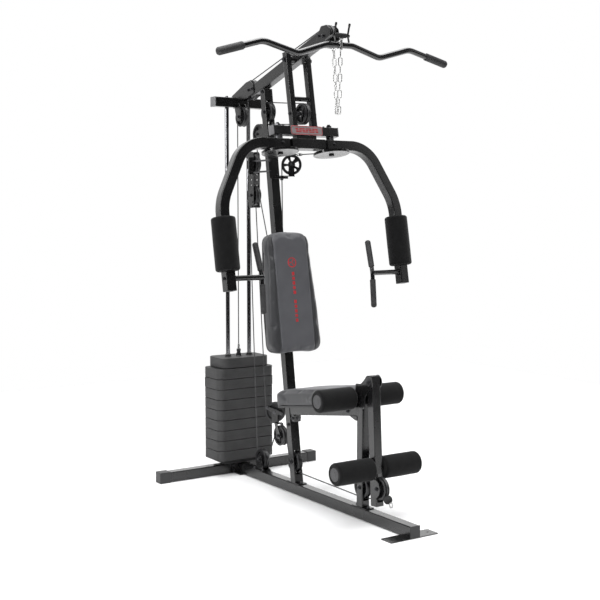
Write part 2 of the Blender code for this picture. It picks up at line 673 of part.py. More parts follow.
def build_arm(side, hand):
    # The right arm's shape, mirrored at the end for the left one.
    corner_a, corner_b = (0.308, ARM_DROP), (ARM_X, 0.611)
    line = [(0.0855, ARM_DROP, 0), (*corner_a, 0), (*corner_b, 0), (ARM_X, ARM_END_DROP, 0)]
    path = [(p.x, p.y) for p in filleted(line, (0.14, 0.20), 6)]
    arm = swept_square(path, ARM_TUBE, 0.004, PRESS_PLANE)
    start, end = path[0], path[-1]
    inner = [(start[0] - 0.01, start[1])] + path[1:-1] + [(end[0], end[1] + 0.01)]
    hollow = swept_square(inner, ARM_TUBE - 2 * 0.0035, 0.0, PRESS_PLANE)
    inner_end = box((0.060, 0.080, 0.060), down_press(ARM_DROP, FLY_X - 0.030),
                    (-PRESS_LEAN, 0, 0))
    round_off = cylinder(ARM_INNER_R, 0.090, down_press(ARM_DROP, FLY_X), PRESS_UP, 48)
    arm = cut(arm, hollow, cut(inner_end, round_off))
    hub = cylinder(0.022, 0.016, down_press(0.3935, FLY_X), PRESS_UP, 20)
    cam = cylinder(CAM_R, CAM_DROP[1] - CAM_DROP[0], down_press(sum(CAM_DROP) / 2, FLY_X),
                   PRESS_UP, 28)
    stub = cylinder(0.012, 0.150, down_press(HANDLE_DROP, 0.350, ARM_FORWARD), sides=12)
    grip_x = 0.280
    grip = filleted([(grip_x, -0.675, 0.812), (grip_x, -0.662, 0.966),
                     (grip_x + 0.0065, -0.616, 1.104)], 0.040, 4)
    grip = as_mesh(swept(grip, GRIP_R))
    arm = unite(arm, hub, cam, stub, grip)
    hole = cylinder(0.0104, 0.2, down_press(0.38, FLY_X), PRESS_UP)
    arm = cut(arm, hole)
    if side < 0:
        arm.data.transform(Matrix.Scale(-1, 4, (1, 0, 0)))
        arm.data.flip_normals()
    pivot = down_press(ARM_DROP, side * FLY_X)
    add(arm, "butterfly_arm_" + hand, BLACK, pivot)

    length = FOAM_DROP[1] - FOAM_DROP[0]
    middle = down_press(sum(FOAM_DROP) / 2, side * ARM_X, ARM_FORWARD)
    foam = cylinder(ARM_FOAM_R, length, middle, PRESS_UP, 24)
    bore = box((ARM_TUBE + 2 * FIT, ARM_TUBE + 2 * FIT, length + 0.02), middle,
               (-PRESS_LEAN, 0, 0))
    add(cut(foam, bore), "arm_foam_" + hand, FOAM, middle, True)


def build_lat_bar():
    half = [(0.065, 0.0), (0.201, -0.0415), (0.359, -0.0005), (0.563, -0.054)]
    line = [(-x, 0, z) for x, z in reversed(half)] + [(x, 0, z) for x, z in half]
    path = filleted(line, (0.09, 0.06, 0.09, 0.09, 0.06, 0.09), 3)
    bar = swept(path, BAR_R)
    bar = add(bar, "lat_bar", BLACK)
    bar.location = (0, BAR_Y, BAR_Z)
    bar.rotation_euler = (0, math.radians(-BAR_TILT), 0)

    loop = [(0, -0.763, 1.874), (0, -0.775, 1.750), (0, -0.787, 1.622), (0, -0.799, 1.622),
            (0, -0.806, 1.750), (0, -0.810, 1.874)]
    chain = swept(filleted(loop, (0.30, 0.0059, 0.0059, 0.30), 3), 0.0050)
    add(chain, "lat_chain", CHROME)


def build_blocks():
    outline = [(-0.163, 1.243), (-0.168, 1.255), (-0.168, 1.485), (-0.160, 1.496), (-0.090, 1.496),
               (-0.085, 1.490), (-0.085, 1.478), (-0.122, 1.462), (-0.122, 1.255), (-0.127, 1.243)]
    plates = [side_plate(outline, side * (CHEEK + 0.0015), 0.003) for side in (-1, 1)]
    top_bolt = cylinder(0.003, 0.030, (0, -0.0895, 1.4875), sides=10)
    low_bolt = cylinder(0.004, 0.030, (0, -0.160, 1.249), sides=10)
    bolts = axle(BLOCK_TOP, half=0.019) + axle(BLOCK_BOTTOM, half=0.019)
    add(unite(plates[0], plates[1], top_bolt, low_bolt, *bolts), "upper_block", BLACK,
        (0, *BLOCK_TOP))

    y, z = LOW_BOTTOM
    outline = [(y - 0.014, z - 0.014), (y + 0.014, z - 0.014), (y + 0.014, z + 0.010),
               (y + 0.030, z + 0.053), (y + 0.010, z + 0.053), (y - 0.014, z + 0.010)]
    lower = [side_plate(outline, side * (CHEEK + 0.0015), 0.003) for side in (-1, 1)]
    plug = box((0.030, 0.020, 0.004), (0, y + 0.020, z + 0.0510))
    y, z = LOW_TOP
    turn = math.degrees(math.atan2(LOW_TOP_ALONG.y, LOW_TOP_ALONG.x)) - 90
    across = Vector((LOW_TOP_ALONG.y, -LOW_TOP_ALONG.x, 0))
    centre = Vector((0, y, z))
    upper = [box((0.003, 0.028, 0.060), centre + across * side * (CHEEK + 0.0015)
                 + Vector((0, 0, -0.016)), (0, 0, turn)) for side in (-1, 1)]
    floor = box((0.030, 0.028, 0.003), centre + Vector((0, 0, -0.0475)), (0, 0, turn))
    bolt = cylinder(AXLE_R, 0.038, centre, across, 12)
    add(unite(plug, *lower, *axle(LOW_BOTTOM, half=0.019), floor, *upper, bolt), "low_block",
        BLACK, (0, *LOW_TOP))


def build_swivel():
    z = SWIVEL_PIVOT.z
    face = upright_y(z - 0.01) - TUBE / 2
    plate = box((0.0515, 0.006, 0.104), (-0.00675, face - 0.0045, z - 0.010), (-LEAN, 0, 0))
    lug_front = box((0.066, 0.009, 0.009), (0.023, -0.3335, z - 0.0575))
    lug_side = box((0.027, 0.042, 0.009), (0.0425, -0.3210, z - 0.0575))
    rear_bar = box((0.026, 0.012, 0.078), (-0.0320, -0.1720, z - 0.002))
    bolts = [cylinder(0.0042, 0.160, (-0.0275, -0.2430, h), (0, 1, 0), 10)
             for h in (1.403, 1.4515)]
    clamp = unite(plate, lug_front, lug_side, rear_bar, *bolts)
    clamp = cut(clamp, cylinder(0.0070, 0.1, SWIVEL_PIVOT - Vector((0, 0, 0.06)), (0, 0, 1)))
    add(clamp, "swivel_clamp", BLACK, (0, face, z))

    turn = math.degrees(math.atan2(SWIVEL_ALONG.y, SWIVEL_ALONG.x))
    across = Vector((-SWIVEL_ALONG.y, SWIVEL_ALONG.x, 0))
    centre = SWIVEL_PIVOT + SWIVEL_ALONG * GROOVE_R
    foot = SWIVEL_PIVOT - Vector((0, 0, 0.0503))
    base = box((0.054, 0.033, 0.004), foot + SWIVEL_ALONG * 0.031, (0, 0, turn))
    boss = cylinder(0.0115, 0.0045, foot + Vector((0, 0, 0.0004)), (0, 0, 1), 16)
    cheeks = [box((0.026, 0.003, 0.064), centre + across * side * (CHEEK + 0.0015)
                  + Vector((0, 0, -0.0200)), (0, 0, turn)) for side in (-1, 1)]
    bolt = cylinder(AXLE_R, 0.040, centre, across, 12)
    fork = unite(base, boss, *cheeks, bolt)
    fork = cut(fork, cylinder(0.0065, 0.1, foot, (0, 0, 1)))
    add(fork, "swivel_fork", BLACK, SWIVEL_PIVOT)


def build_pulleys():
    r, half = PULLEY_R, PULLEY_HALF
    groove = GROOVE_R - CABLE_R - 0.0008
    wheel = turned([(BORE_R, half), (r, half - 0.001), (groove, 0.0015), (groove, -0.0015),
                    (r, 0.001 - half), (BORE_R, -half)], 18)
    wheel.data.shade_smooth()
    wheel.data.set_sharp_from_angle(angle=math.radians(35))
    wheel.data.materials.append(NYLON)
    level = Vector((0, 1, 0))
    places = {
        "boom_front": ((0, *BOOM_FRONT), level), "boom_rear": ((0, *BOOM_REAR), level),
        "stack": ((0, *STACK), level), "upright_top": ((0, *UPRIGHT_TOP), level),
        "upright_rear": ((0, *UPRIGHT_REAR), level), "press": ((0, *PRESS), level),
        "block_top": ((0, *BLOCK_TOP), level), "block_bottom": ((0, *BLOCK_BOTTOM), level),
        "low_block_top": ((0, *LOW_TOP), LOW_TOP_ALONG),
        "low_block_bottom": ((0, *LOW_BOTTOM), level),
        "upright_low": ((0, *UPRIGHT_LOW), level), "base": ((0, *BASE), level),
        "post": ((0, *POST), level), "lever": ((0, *LEVER), level),
        "swivel": (SWIVEL_PIVOT + SWIVEL_ALONG * GROOVE_R, SWIVEL_ALONG),
    }
    for name, (centre, along) in places.items():
        pulley = bpy.data.objects.new(name + "_pulley", wheel.data)
        pulley.location = centre
        axis = Vector((-along.y, along.x, 0))
        pulley.rotation_euler = Vector((0, 0, 1)).rotation_difference(axis).to_euler()
        pulley.parent = DATUM
        GYM.objects.link(pulley)
    bpy.data.objects.remove(wheel)


def build_cables():
    lat = belt([(-0.763, 1.893), (*BOOM_FRONT, -1), (*BOOM_REAR, -1), (*BLOCK_TOP, -1),
                (*UPRIGHT_REAR, 1), (*PRESS, -1), (*UPRIGHT_TOP, -1)])
    add(swept(lat, CABLE_R), "lat_cable", CABLE)
    carried = belt([(0.0, 0.596), (*STACK, 1), (-0.0895, 1.4915)])
    add(swept(carried, CABLE_R), "stack_cable", CABLE)
    anchor = (upright_y(0.80) + TUBE / 2 + 0.003, 0.80)
    low = belt([(-1.136, 0.106), (*LEVER, 1), (*POST, 1), (*UPRIGHT_LOW, 1), (*LOW_BOTTOM, -1),
                (*BASE, 1), (*BLOCK_BOTTOM, 1), anchor])
    add(swept(low, CABLE_R), "low_cable", CABLE)
    low_top = Vector((0, *LOW_TOP))
    swivel = SWIVEL_PIVOT + SWIVEL_ALONG * GROOVE_R
    fly = [Vector((0, -0.160, 1.2445))]
    fly += list(wheel_arc(low_top, LOW_TOP_ALONG, 182, 358))
    fly += list(wheel_arc(swivel, SWIVEL_ALONG, 180, 90))
    fly += [BRIDLE - SWIVEL_ALONG * 0.0125]
    add(swept(fly, CABLE_R), "fly_cable", CABLE)

    yoke = box((0.022, 0.014, 0.012), BRIDLE, (0, 0, -34))
    lines = []
    for side in (-1, 1):
        start = BRIDLE
        end = down_press(0.3955, side * FLY_X) + Vector((-0.029 * side, 0.0775, 0.0))
        lines.append(as_mesh(swept([start, end], CABLE_R)))
    add(unite(yoke, *lines), "fly_bridle", CABLE)


build_base()
build_upright()
build_seat_frame()
build_boom()
build_guides()
build_stack()
build_pads()
build_rollers()
build_lever()
build_press()
build_arm(-1, "left")
build_arm(1, "right")
build_lat_bar()
build_blocks()
build_swivel()
build_pulleys()
build_cables()
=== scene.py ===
"""Looks of the multi station home gym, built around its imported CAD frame.

Metres, +Z up. Pieces are drawn with depths (y) measured from the rear stabiliser's centre
line, as the gym's own drawing does, and piece() moves them into the frame.
"""

import json
import math

import bmesh
import bpy
from mathutils import Matrix, Vector


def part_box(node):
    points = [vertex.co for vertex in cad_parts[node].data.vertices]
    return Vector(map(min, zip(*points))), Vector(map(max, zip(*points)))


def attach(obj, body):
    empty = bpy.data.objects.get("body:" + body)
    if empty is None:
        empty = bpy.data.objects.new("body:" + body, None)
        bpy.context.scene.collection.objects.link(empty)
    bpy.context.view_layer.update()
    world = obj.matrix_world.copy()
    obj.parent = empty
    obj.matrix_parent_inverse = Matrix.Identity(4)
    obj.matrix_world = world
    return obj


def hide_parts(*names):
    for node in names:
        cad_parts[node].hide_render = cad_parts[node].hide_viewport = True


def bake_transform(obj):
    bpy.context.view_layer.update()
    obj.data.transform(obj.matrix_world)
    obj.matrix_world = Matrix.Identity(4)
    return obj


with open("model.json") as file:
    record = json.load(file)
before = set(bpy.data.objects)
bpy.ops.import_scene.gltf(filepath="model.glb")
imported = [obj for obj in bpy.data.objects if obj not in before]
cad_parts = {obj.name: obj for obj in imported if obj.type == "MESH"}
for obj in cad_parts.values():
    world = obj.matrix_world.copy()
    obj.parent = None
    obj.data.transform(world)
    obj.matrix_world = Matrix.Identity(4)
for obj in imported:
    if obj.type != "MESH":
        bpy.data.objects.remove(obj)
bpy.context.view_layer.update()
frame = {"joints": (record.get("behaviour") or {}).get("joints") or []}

JOINT = {joint["name"]: joint for joint in frame["joints"]}
TO_FRAME = sum(corner.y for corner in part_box("rear_stabiliser")) / 2


def pivot(joint):
    """A joint's centre, with its depth measured from the rear stabiliser."""
    x, y, z = JOINT[joint]["pos_m"]
    return Vector((x, y - TO_FRAME, z))


# Sizes and places shared by several pieces, in metres and degrees
RAIL = 0.045
TUBE = 0.038
ARM_TUBE = 0.043
UPRIGHT_WIDTH = 0.043
WALL = 0.002
RAIL_TOP = 0.048
LEAN = 8.2
UPRIGHT_FOOT_Y = -0.4945
SEAT_RISE = 8.4
BOOM_RISE = 17.7
PRESS_LEAN = 10.25
CABLE_R = 0.0024
GROOVE_R = 0.043
PULLEY_R = 0.045
CHEEK = 0.0135
FLY_X = 0.130
ARM_X = 0.437
ARM_FORWARD = 0.008
PRESS_BAR_DROP = 0.3074
ARM_DROP = 0.367
ARM_INNER_R = 0.0452
CAM_DROP = (0.391, 0.403)
FOAM_DROP = (0.672, 0.888)
ARM_END_DROP = 0.9654
HANDLE_DROP = 0.9176
FOAM_R = 0.045
ARM_FOAM_R = 0.0495
GRIP_R = 0.0125
ROLLER_HALF = 0.202
PLATE_PITCH = 0.0477
PLATE_HALF = (0.1500, 0.0785)
TOP_PLATE_HALF = (0.1255, 0.0725)
PLATE_CORNER = 0.030
STACK_BASE = 0.075
RESTING = 6
LIFTED = 3
ROD_X = 0.0575
ROD_R = 0.0098
BAR_CENTRE = (0, -0.800, 1.891)
BAR_TILT = 1.6
CRADLE = (-0.813, 1.928)       # the cradle's rail, (y, z)
PRONG_X = 0.033
UP = (0, 0, 1)
DOWN = (0, 0, -1)
FORWARD = (0, -1, 0)
HANDS = ((-1, "left"), (1, "right"))

PULLEYS = ("boom_front", "boom_rear", "stack", "upright_top", "upright_rear", "press", "block_top",
           "block_bottom", "low_block_top", "low_block_bottom", "upright_low", "base", "post",
           "lever", "swivel")
CENTRE = {name: pivot(name + "_spin") for name in PULLEYS}
YZ = {name: (centre.y, centre.z) for name, centre in CENTRE.items()}
PRESS_PIVOT = pivot("press_swing")
LEVER_PIVOT = pivot("leg_swing")
SWIVEL_PIVOT = pivot("swivel_turn")
SWIVEL_ALONG = Vector((0.831, -0.556, 0.0))
LOW_TOP_ALONG = Vector((0.7071, -0.7071, 0.0))
BRIDLE = SWIVEL_PIVOT + SWIVEL_ALONG * 0.078 + Vector((0, 0, 0.0445))
UPPER_ROLLER = (-0.940, 0.488)
LOWER_ROLLER = (-1.057, 0.222)


# Materials

def new_material(name, colour, roughness, metallic=0.0, coat=0.0, coat_roughness=0.1, sheen=0.0):
    mat = bpy.data.materials.new(name)
    mat.use_nodes = True
    shader = mat.node_tree.nodes["Principled BSDF"]
    shader.inputs["Base Color"].default_value = (*colour, 1.0)
    shader.inputs["Roughness"].default_value = roughness
    shader.inputs["Metallic"].default_value = metallic
    shader.inputs["Coat Weight"].default_value = coat
    shader.inputs["Coat Roughness"].default_value = coat_roughness
    shader.inputs["Sheen Weight"].default_value = sheen
    return mat


def texture(mat, kind, scale, stretch=(1, 1, 1), **sockets):
    """A procedural texture read in metres on the piece, and its node."""
    nodes, links = mat.node_tree.nodes, mat.node_tree.links
    place = nodes.new("ShaderNodeTexCoord")
    mapping = nodes.new("ShaderNodeMapping")
    mapping.inputs["Scale"].default_value = stretch
    links.new(place.outputs["Object"], mapping.inputs["Vector"])
    tex = nodes.new(kind)
    tex.inputs["Scale"].default_value = scale
    for name, value in sockets.items():
        tex.inputs[name].default_value = value
    links.new(mapping.outputs["Vector"], tex.inputs["Vector"])
    return tex


def height_of(tex):
    """The texture's grey output."""
    return tex.outputs["Distance" if "Distance" in tex.outputs else "Fac"]


def spread(mat, tex, socket, low, high, position=(0.3, 0.7)):
    """Lets a texture vary one of the shader's inputs between two values or colours."""
    nodes, links = mat.node_tree.nodes, mat.node_tree.links
    ramp = nodes.new("ShaderNodeValToRGB")
    for element, at, value in zip(ramp.color_ramp.elements, position, (low, high)):
        element.position = at
        element.color = (*value, 1.0) if isinstance(value, tuple) else (value, value, value, 1.0)
    links.new(height_of(tex), ramp.inputs["Fac"])
    links.new(ramp.outputs["Color"], nodes["Principled BSDF"].inputs[socket])


def bump(mat, tex, strength, distance, after=None):
    """Raises the surface by a texture. Several bumps chain through after."""
    nodes, links = mat.node_tree.nodes, mat.node_tree.links
    node = nodes.new("ShaderNodeBump")
    node.inputs["Strength"].default_value = strength
    node.inputs["Distance"].default_value = distance
    links.new(height_of(tex), node.inputs["Height"])
    if after:
        links.new(after.outputs["Normal"], node.inputs["Normal"])
    links.new(node.outputs["Normal"], nodes["Principled BSDF"].inputs["Normal"])
    return node


def paint(name, colour, roughness, coat):
    """Powder coat: a fine orange peel under a thin clear gloss."""
    mat = new_material(name, colour, roughness, coat=coat, coat_roughness=0.16)
    cloud = texture(mat, "ShaderNodeTexNoise", 9.0, Detail=4.0)
    spread(mat, cloud, "Roughness", roughness - 0.05, roughness + 0.08)
    peel = texture(mat, "ShaderNodeTexNoise", 620.0, Detail=2.0)
    bump(mat, peel, 0.20, 0.00012)
    return mat


def vinyl(name, dark, light, roughness):
    """Synthetic leather: a pebbled grain with soft creases."""
    mat = new_material(name, dark, roughness, coat=0.05, coat_roughness=0.35, sheen=0.08)
    cloud = texture(mat, "ShaderNodeTexNoise", 14.0, Detail=5.0)
    spread(mat, cloud, "Base Color", dark, light)
    grain = texture(mat, "ShaderNodeTexVoronoi", 620.0, Randomness=1.0)
    crease = texture(mat, "ShaderNodeTexNoise", 60.0, Detail=6.0)
    first = bump(mat, grain, 0.35, 0.00022)
    bump(mat, crease, 0.25, 0.0006, after=first)
    return mat


def foam_skin():
    """Closed cell foam: matte, with fine open pores."""
    mat = new_material("roller_foam", (0.0025, 0.0025, 0.0027), 0.95, sheen=0.10)
    mat.node_tree.nodes["Principled BSDF"].inputs["IOR"].default_value = 1.30
    cloud = texture(mat, "ShaderNodeTexNoise", 45.0, Detail=6.0)
    spread(mat, cloud, "Base Color", (0.0020, 0.0020, 0.0022), (0.0045, 0.0045, 0.0048))
    pores = texture(mat, "ShaderNodeTexVoronoi", 520.0, Randomness=1.0)
    fine = texture(mat, "ShaderNodeTexNoise", 900.0, Detail=3.0)
    first = bump(mat, pores, 0.5, 0.00035)
    bump(mat, fine, 0.35, 0.0002, after=first)
    return mat


def moulded(name, colour, roughness, grain=420.0, depth=0.00018):
    """Moulded plastic or rubber with a spark eroded skin."""
    mat = new_material(name, colour, roughness)
    cloud = texture(mat, "ShaderNodeTexNoise", 18.0, Detail=4.0)
    lighter = tuple(1.35 * c for c in colour)
    spread(mat, cloud, "Base Color", colour, lighter)
    skin = texture(mat, "ShaderNodeTexNoise", grain, Detail=3.0)
    bump(mat, skin, 0.4, depth)
    return mat


def metal(name, colour, roughness, along=(1, 1, 1)):
    """Plated steel with faint drawing marks along the piece."""
    mat = new_material(name, colour, roughness, metallic=1.0)
    marks = texture(mat, "ShaderNodeTexNoise", 160.0, stretch=along, Detail=3.0)
    spread(mat, marks, "Roughness", roughness * 0.8, roughness * 1.3)
    return mat


def cable_coat():
    """Wire rope under a dark plastic coat, its strands just showing."""
    mat = new_material("cable_coat", (0.035, 0.035, 0.037), 0.42, coat=0.2)
    twist = texture(mat, "ShaderNodeTexWave", 150.0, stretch=(1, 1, 1.6), Distortion=0.0)
    twist.bands_direction = "DIAGONAL"
    bump(mat, twist, 0.35, 0.0004)
    cloud = texture(mat, "ShaderNodeTexNoise", 30.0, Detail=3.0)
    spread(mat, cloud, "Base Color", (0.030, 0.030, 0.031), (0.045, 0.045, 0.047))
    return mat


def grip_skin():
    """Grip rubber: a fine matte grain, lighter in patches."""
    mat = new_material("grip_rubber", (0.024, 0.024, 0.025), 0.62)
    skin = texture(mat, "ShaderNodeTexNoise", 520.0, Detail=3.0)
    cloud = texture(mat, "ShaderNodeTexNoise", 40.0, Detail=4.0)
    spread(mat, cloud, "Base Color", (0.020, 0.020, 0.021), (0.033, 0.033, 0.034))
    bump(mat, skin, 0.45, 0.00025)
    return mat


BLACK = paint("frame_paint", (0.0060, 0.0060, 0.0063), 0.24, 0.35)
GLOSS = paint("lat_bar_paint", (0.0070, 0.0070, 0.0075), 0.20, 0.80)
VINYL_PANEL = vinyl("pad_vinyl_panel", (0.078, 0.079, 0.087), (0.094, 0.095, 0.104), 0.50)
VINYL_SIDE = vinyl("pad_vinyl_side", (0.026, 0.0265, 0.029), (0.034, 0.0345, 0.038), 0.46)
FOAM = foam_skin()
SHELL = moulded("stack_shell", (0.030, 0.030, 0.0305), 0.62)
CAP = moulded("cap_plastic", (0.020, 0.020, 0.021), 0.46)
DISC = moulded("disc_plastic", (0.045, 0.045, 0.047), 0.50)
LIGHT_CAP = moulded("light_cap_plastic", (0.16, 0.16, 0.165), 0.48)
NYLON = moulded("pulley_nylon", (0.010, 0.010, 0.011), 0.36, 300.0, 0.00010)
RUBBER = moulded("bumper_rubber", (0.012, 0.012, 0.0125), 0.80)
GRIP = grip_skin()
CHROME = metal("guide_chrome", (0.34, 0.34, 0.355), 0.11, (1, 1, 0.02))
ZINC = metal("zinc_steel", (0.62, 0.62, 0.615), 0.30)
DARK_STEEL = metal("fastener_steel", (0.10, 0.10, 0.105), 0.36)
SILVER = metal("badge_face", (0.66, 0.62, 0.63), 0.36, (0.05, 1, 1))
RED = moulded("print_red", (0.46, 0.012, 0.018), 0.5)
CABLE = cable_coat()


# Shapes. Each is a mesh object in the drawing's coordinates until piece() joins them.

def linked(name, data):
    """A new object, linked to the scene."""
    obj = bpy.data.objects.new(name, data)
    bpy.context.scene.collection.objects.link(obj)
    return obj


def mesh_of(bm, name="shape"):
    """A new mesh from a bmesh, which it frees."""
    mesh = bpy.data.meshes.new(name)
    bm.to_mesh(mesh)
    bm.free()
    return mesh


def mesh_object(bm):
    return linked("shape", mesh_of(bm))


def evaluated(obj):
    """The mesh that an object's modifiers, or a curve, make."""
    graph = bpy.context.evaluated_depsgraph_get()
    return bpy.data.meshes.new_from_object(obj.evaluated_get(graph))


def as_mesh(obj):
    """Replaces an object's modifiers, or a curve, with the mesh they make."""
    bpy.context.view_layer.update()
    bm = bmesh.new()
    bm.from_mesh(evaluated(obj))
    bm.transform(obj.matrix_world)
    bmesh.ops.remove_doubles(bm, verts=bm.verts, dist=0.00002)
    bmesh.ops.recalc_face_normals(bm, faces=bm.faces)
    bpy.data.objects.remove(obj)
    return mesh_object(bm)


def turn_matrix(turn):
    spin = Matrix.Rotation(math.radians(turn[2]), 4, "Z")
    return spin @ Matrix.Rotation(math.radians(turn[0]), 4, "X")


def box(size, centre, turn=(0.0, 0.0, 0.0), edge=0.0006, steps=2):
    """A block with all its edges rounded, turned by Euler degrees."""
    bm = bmesh.new()
    bmesh.ops.create_cube(bm, size=1.0, matrix=Matrix.Diagonal((*size, 1.0)))
    if edge:
        bmesh.ops.bevel(bm, geom=bm.edges[:], offset=edge, segments=steps, profile=0.5,
                        affect="EDGES")
    bm.transform(Matrix.Translation(centre) @ turn_matrix(turn))
    return mesh_object(bm)


def bar_box(size, centre, turn=(0.0, 0.0, 0.0), edge=0.004):
    """A block whose four long edges are rounded, as a tube's are."""
    bm = bmesh.new()
    bmesh.ops.create_cube(bm, size=1.0, matrix=Matrix.Diagonal((*size, 1.0)))
    along = max(range(3), key=lambda i: size[i])
    long_edges = [e for e in bm.edges
                  if abs(e.verts[0].co[along] - e.verts[1].co[along]) > 0.5 * size[along]]
    bmesh.ops.bevel(bm, geom=long_edges, offset=edge, segments=4, profile=0.5, affect="EDGES")
    bm.transform(Matrix.Translation(centre) @ turn_matrix(turn))
    return mesh_object(bm)


def aimed(along):
    return Vector((0, 0, 1)).rotation_difference(Vector(along)).to_matrix().to_4x4()


def lathe(profile, centre, along=(0, 0, 1), steps=40, closed=False):
    """A profile of (radius, height) points turned about a line. Radius 0 closes an end."""
    bm = bmesh.new()
    rings = []
    for radius, height in profile:
        if radius <= 0:
            rings.append([bm.verts.new((0, 0, height))])
            continue
        rings.append([bm.verts.new((radius * math.cos(2 * math.pi * i / steps),
                                    radius * math.sin(2 * math.pi * i / steps), height))
                      for i in range(steps)])
    pairs = list(zip(rings, rings[1:])) + ([(rings[-1], rings[0])] if closed else [])
    for a, b in pairs:
        for i in range(steps):
            j = (i + 1) % steps
            corners = [a[i % len(a)], a[j % len(a)], b[j % len(b)], b[i % len(b)]]
            bm.faces.new(dict.fromkeys(corners))
    bmesh.ops.recalc_face_normals(bm, faces=bm.faces)
    bm.transform(Matrix.Translation(centre) @ aimed(along))
    return mesh_object(bm)


def rod(radius, length, centre, along=(1, 0, 0), steps=28, edge=0.0006):
    """A round bar with its end edges broken."""
    half = length / 2
    profile = [(0, half), (radius - edge, half), (radius, half - edge), (radius, edge - half),
               (radius - edge, -half), (0, -half)]
    return lathe(profile, centre, along, steps)


def hexagon(radius, length, centre, along=(1, 0, 0)):
    """A bolt head or nut: six flats, with both faces chamfered."""
    half = length / 2
    head = lathe([(0, half), (radius, half), (radius, -half), (0, -half)], centre, along, 6)
    bevel = head.modifiers.new("edges", "BEVEL")
    bevel.width = 0.0005
    bevel.segments = 2
    return as_mesh(head)


def bolt(centre, along=(1, 0, 0), reach=0.022, size=0.0075, nut=True, x=0.0):
    """A bolt through a piece: a head, a nut and their washers at reach from the middle."""
    middle = Vector((x, *centre)) if len(centre) == 2 else Vector(centre)
    along = Vector(along).normalized()
    shapes = []
    for side in (-1, 1) if nut else (1,):
        washer = middle + along * side * (reach - 0.0004)
        shapes.append(rod(size * 1.32, 0.0014, washer, along, 24, 0.0003))
        shapes.append(hexagon(size, 0.0055, washer + along * side * 0.0033, along))
        tip = 0.0095 if side < 0 else 0.0065
        shapes.append(rod(size * 0.5, tip, washer + along * side * tip / 2, along, 16, 0.0008))
    return shapes


def bolt_head(centre, along, reach, size):
    """A bolt's head and washer alone, on one face."""
    return bolt(centre, along, reach, size, nut=False)


def ferrule(centre, along=(0, 0, 1), tip=0.012, shoulder=0.006, foot=0.006, radius=0.0048,
            steps=24):
    """A cable's crimped end: a collar that narrows to the cable at its tip."""
    profile = [(0, tip), (CABLE_R + 0.0006, tip - 0.0005), (radius, shoulder), (radius, -foot),
               (0, -foot)]
    return lathe(profile, centre, along, steps)


def eye_ring(centre, radius, thick, steps):
    """A ring of round wire that stands in the gym's middle plane."""
    angles = [2 * math.pi * i / steps for i in range(steps + 1)]
    return wire([Vector(centre) + radius * Vector((0, math.cos(a), math.sin(a)))
                 for a in angles], thick, 10)


def slab(outline, thickness, place, edge=0.0005, holes=()):
    """A flat outline in local XY, with a thickness along local Z and rounded edges."""
    curve = bpy.data.curves.new("outline", "CURVE")
    curve.dimensions = "2D"
    curve.fill_mode = "BOTH"
    curve.bevel_depth = edge
    curve.bevel_resolution = 1
    curve.offset = -edge
    curve.extrude = thickness / 2 - edge
    for points in (outline, *holes):
        spline = curve.splines.new("POLY")
        spline.points.add(len(points) - 1)
        for point, (u, v) in zip(spline.points, points):
            point.co = (u, v, 0.0, 1.0)
        spline.use_cyclic_u = True
    obj = linked("outline", curve)
    obj.matrix_world = place
    return as_mesh(obj)


def side_place(x):
    """Local XY on (y, z) at a given x."""
    return Matrix(((0, 0, 1, x), (1, 0, 0, 0), (0, 1, 0, 0), (0, 0, 0, 1)))


def side_plate(outline, x, thickness, holes=(), edge=0.0005):
    return slab(outline, thickness, side_place(x), edge, holes)


def circle(radius, centre=(0.0, 0.0), steps=16):
    return [(centre[0] + radius * math.cos(2 * math.pi * i / steps),
             centre[1] + radius * math.sin(2 * math.pi * i / steps)) for i in range(steps)]


def softened(outline, radius, steps=4):
    """Rounds every corner of a closed outline."""
    count = len(outline)
    made = []
    for i, here in enumerate(outline):
        here = Vector(here)
        before, after = Vector(outline[i - 1]) - here, Vector(outline[(i + 1) % count]) - here
        reach = min(radius, 0.45 * before.length, 0.45 * after.length)
        start, end = here + before.normalized() * reach, here + after.normalized() * reach
        for step in range(steps + 1):
            t = step / steps
            point = start * (1 - t) ** 2 + here * 2 * t * (1 - t) + end * t * t
            made.append((point.x, point.y))
    return made


def rounded_rectangle(half_x, half_y, corner, steps=6):
    points = []
    for quarter in range(4):
        sx = 1 if quarter in (0, 3) else -1
        sy = 1 if quarter < 2 else -1
        for step in range(steps + 1):
            angle = math.radians(90 * quarter + 90 * step / steps)
            points.append((sx * (half_x - corner) + corner * math.cos(angle),
                           sy * (half_y - corner) + corner * math.sin(angle)))
    return points


def combine(target, operation, shapes):
    for shape in shapes:
        modifier = target.modifiers.new("combine", "BOOLEAN")
        modifier.operation = operation
        modifier.solver = "EXACT"
        modifier.object = shape
    made = as_mesh(target)
    for shape in shapes:
        bpy.data.objects.remove(shape)
    return made


def cut(target, *shapes):
    return combine(target, "DIFFERENCE", shapes)


def beam(start, end, width, depth, x=0.0, edge=0.004):
    """A rectangular tube between two (y, z) points, open at both ends."""
    dy, dz = end[0] - start[0], end[1] - start[1]
    length = math.hypot(dy, dz)
    turn = (math.degrees(math.atan2(-dy, dz)), 0, 0)
    centre = (x, (start[0] + end[0]) / 2, (start[1] + end[1]) / 2)
    outer = bar_box((width, depth, length), centre, turn, edge)
    hollow = bar_box((width - 2 * WALL, depth - 2 * WALL, length + 0.02), centre, turn,
                     edge - 0.0015)
    return cut(outer, hollow)


def loft(rings, capped=True):
    """Faces between rings of equally many points."""
    bm = bmesh.new()
    rows = [[bm.verts.new(point) for point in ring] for ring in rings]
    for a, b in zip(rows, rows[1:]):
        for i in range(len(a)):
            j = (i + 1) % len(a)
            bm.faces.new((a[i], a[j], b[j], b[i]))
    if capped:
        bm.faces.new(rows[0])
        bm.faces.new(rows[-1])
    bmesh.ops.recalc_face_normals(bm, faces=bm.faces)
    return mesh_object(bm)


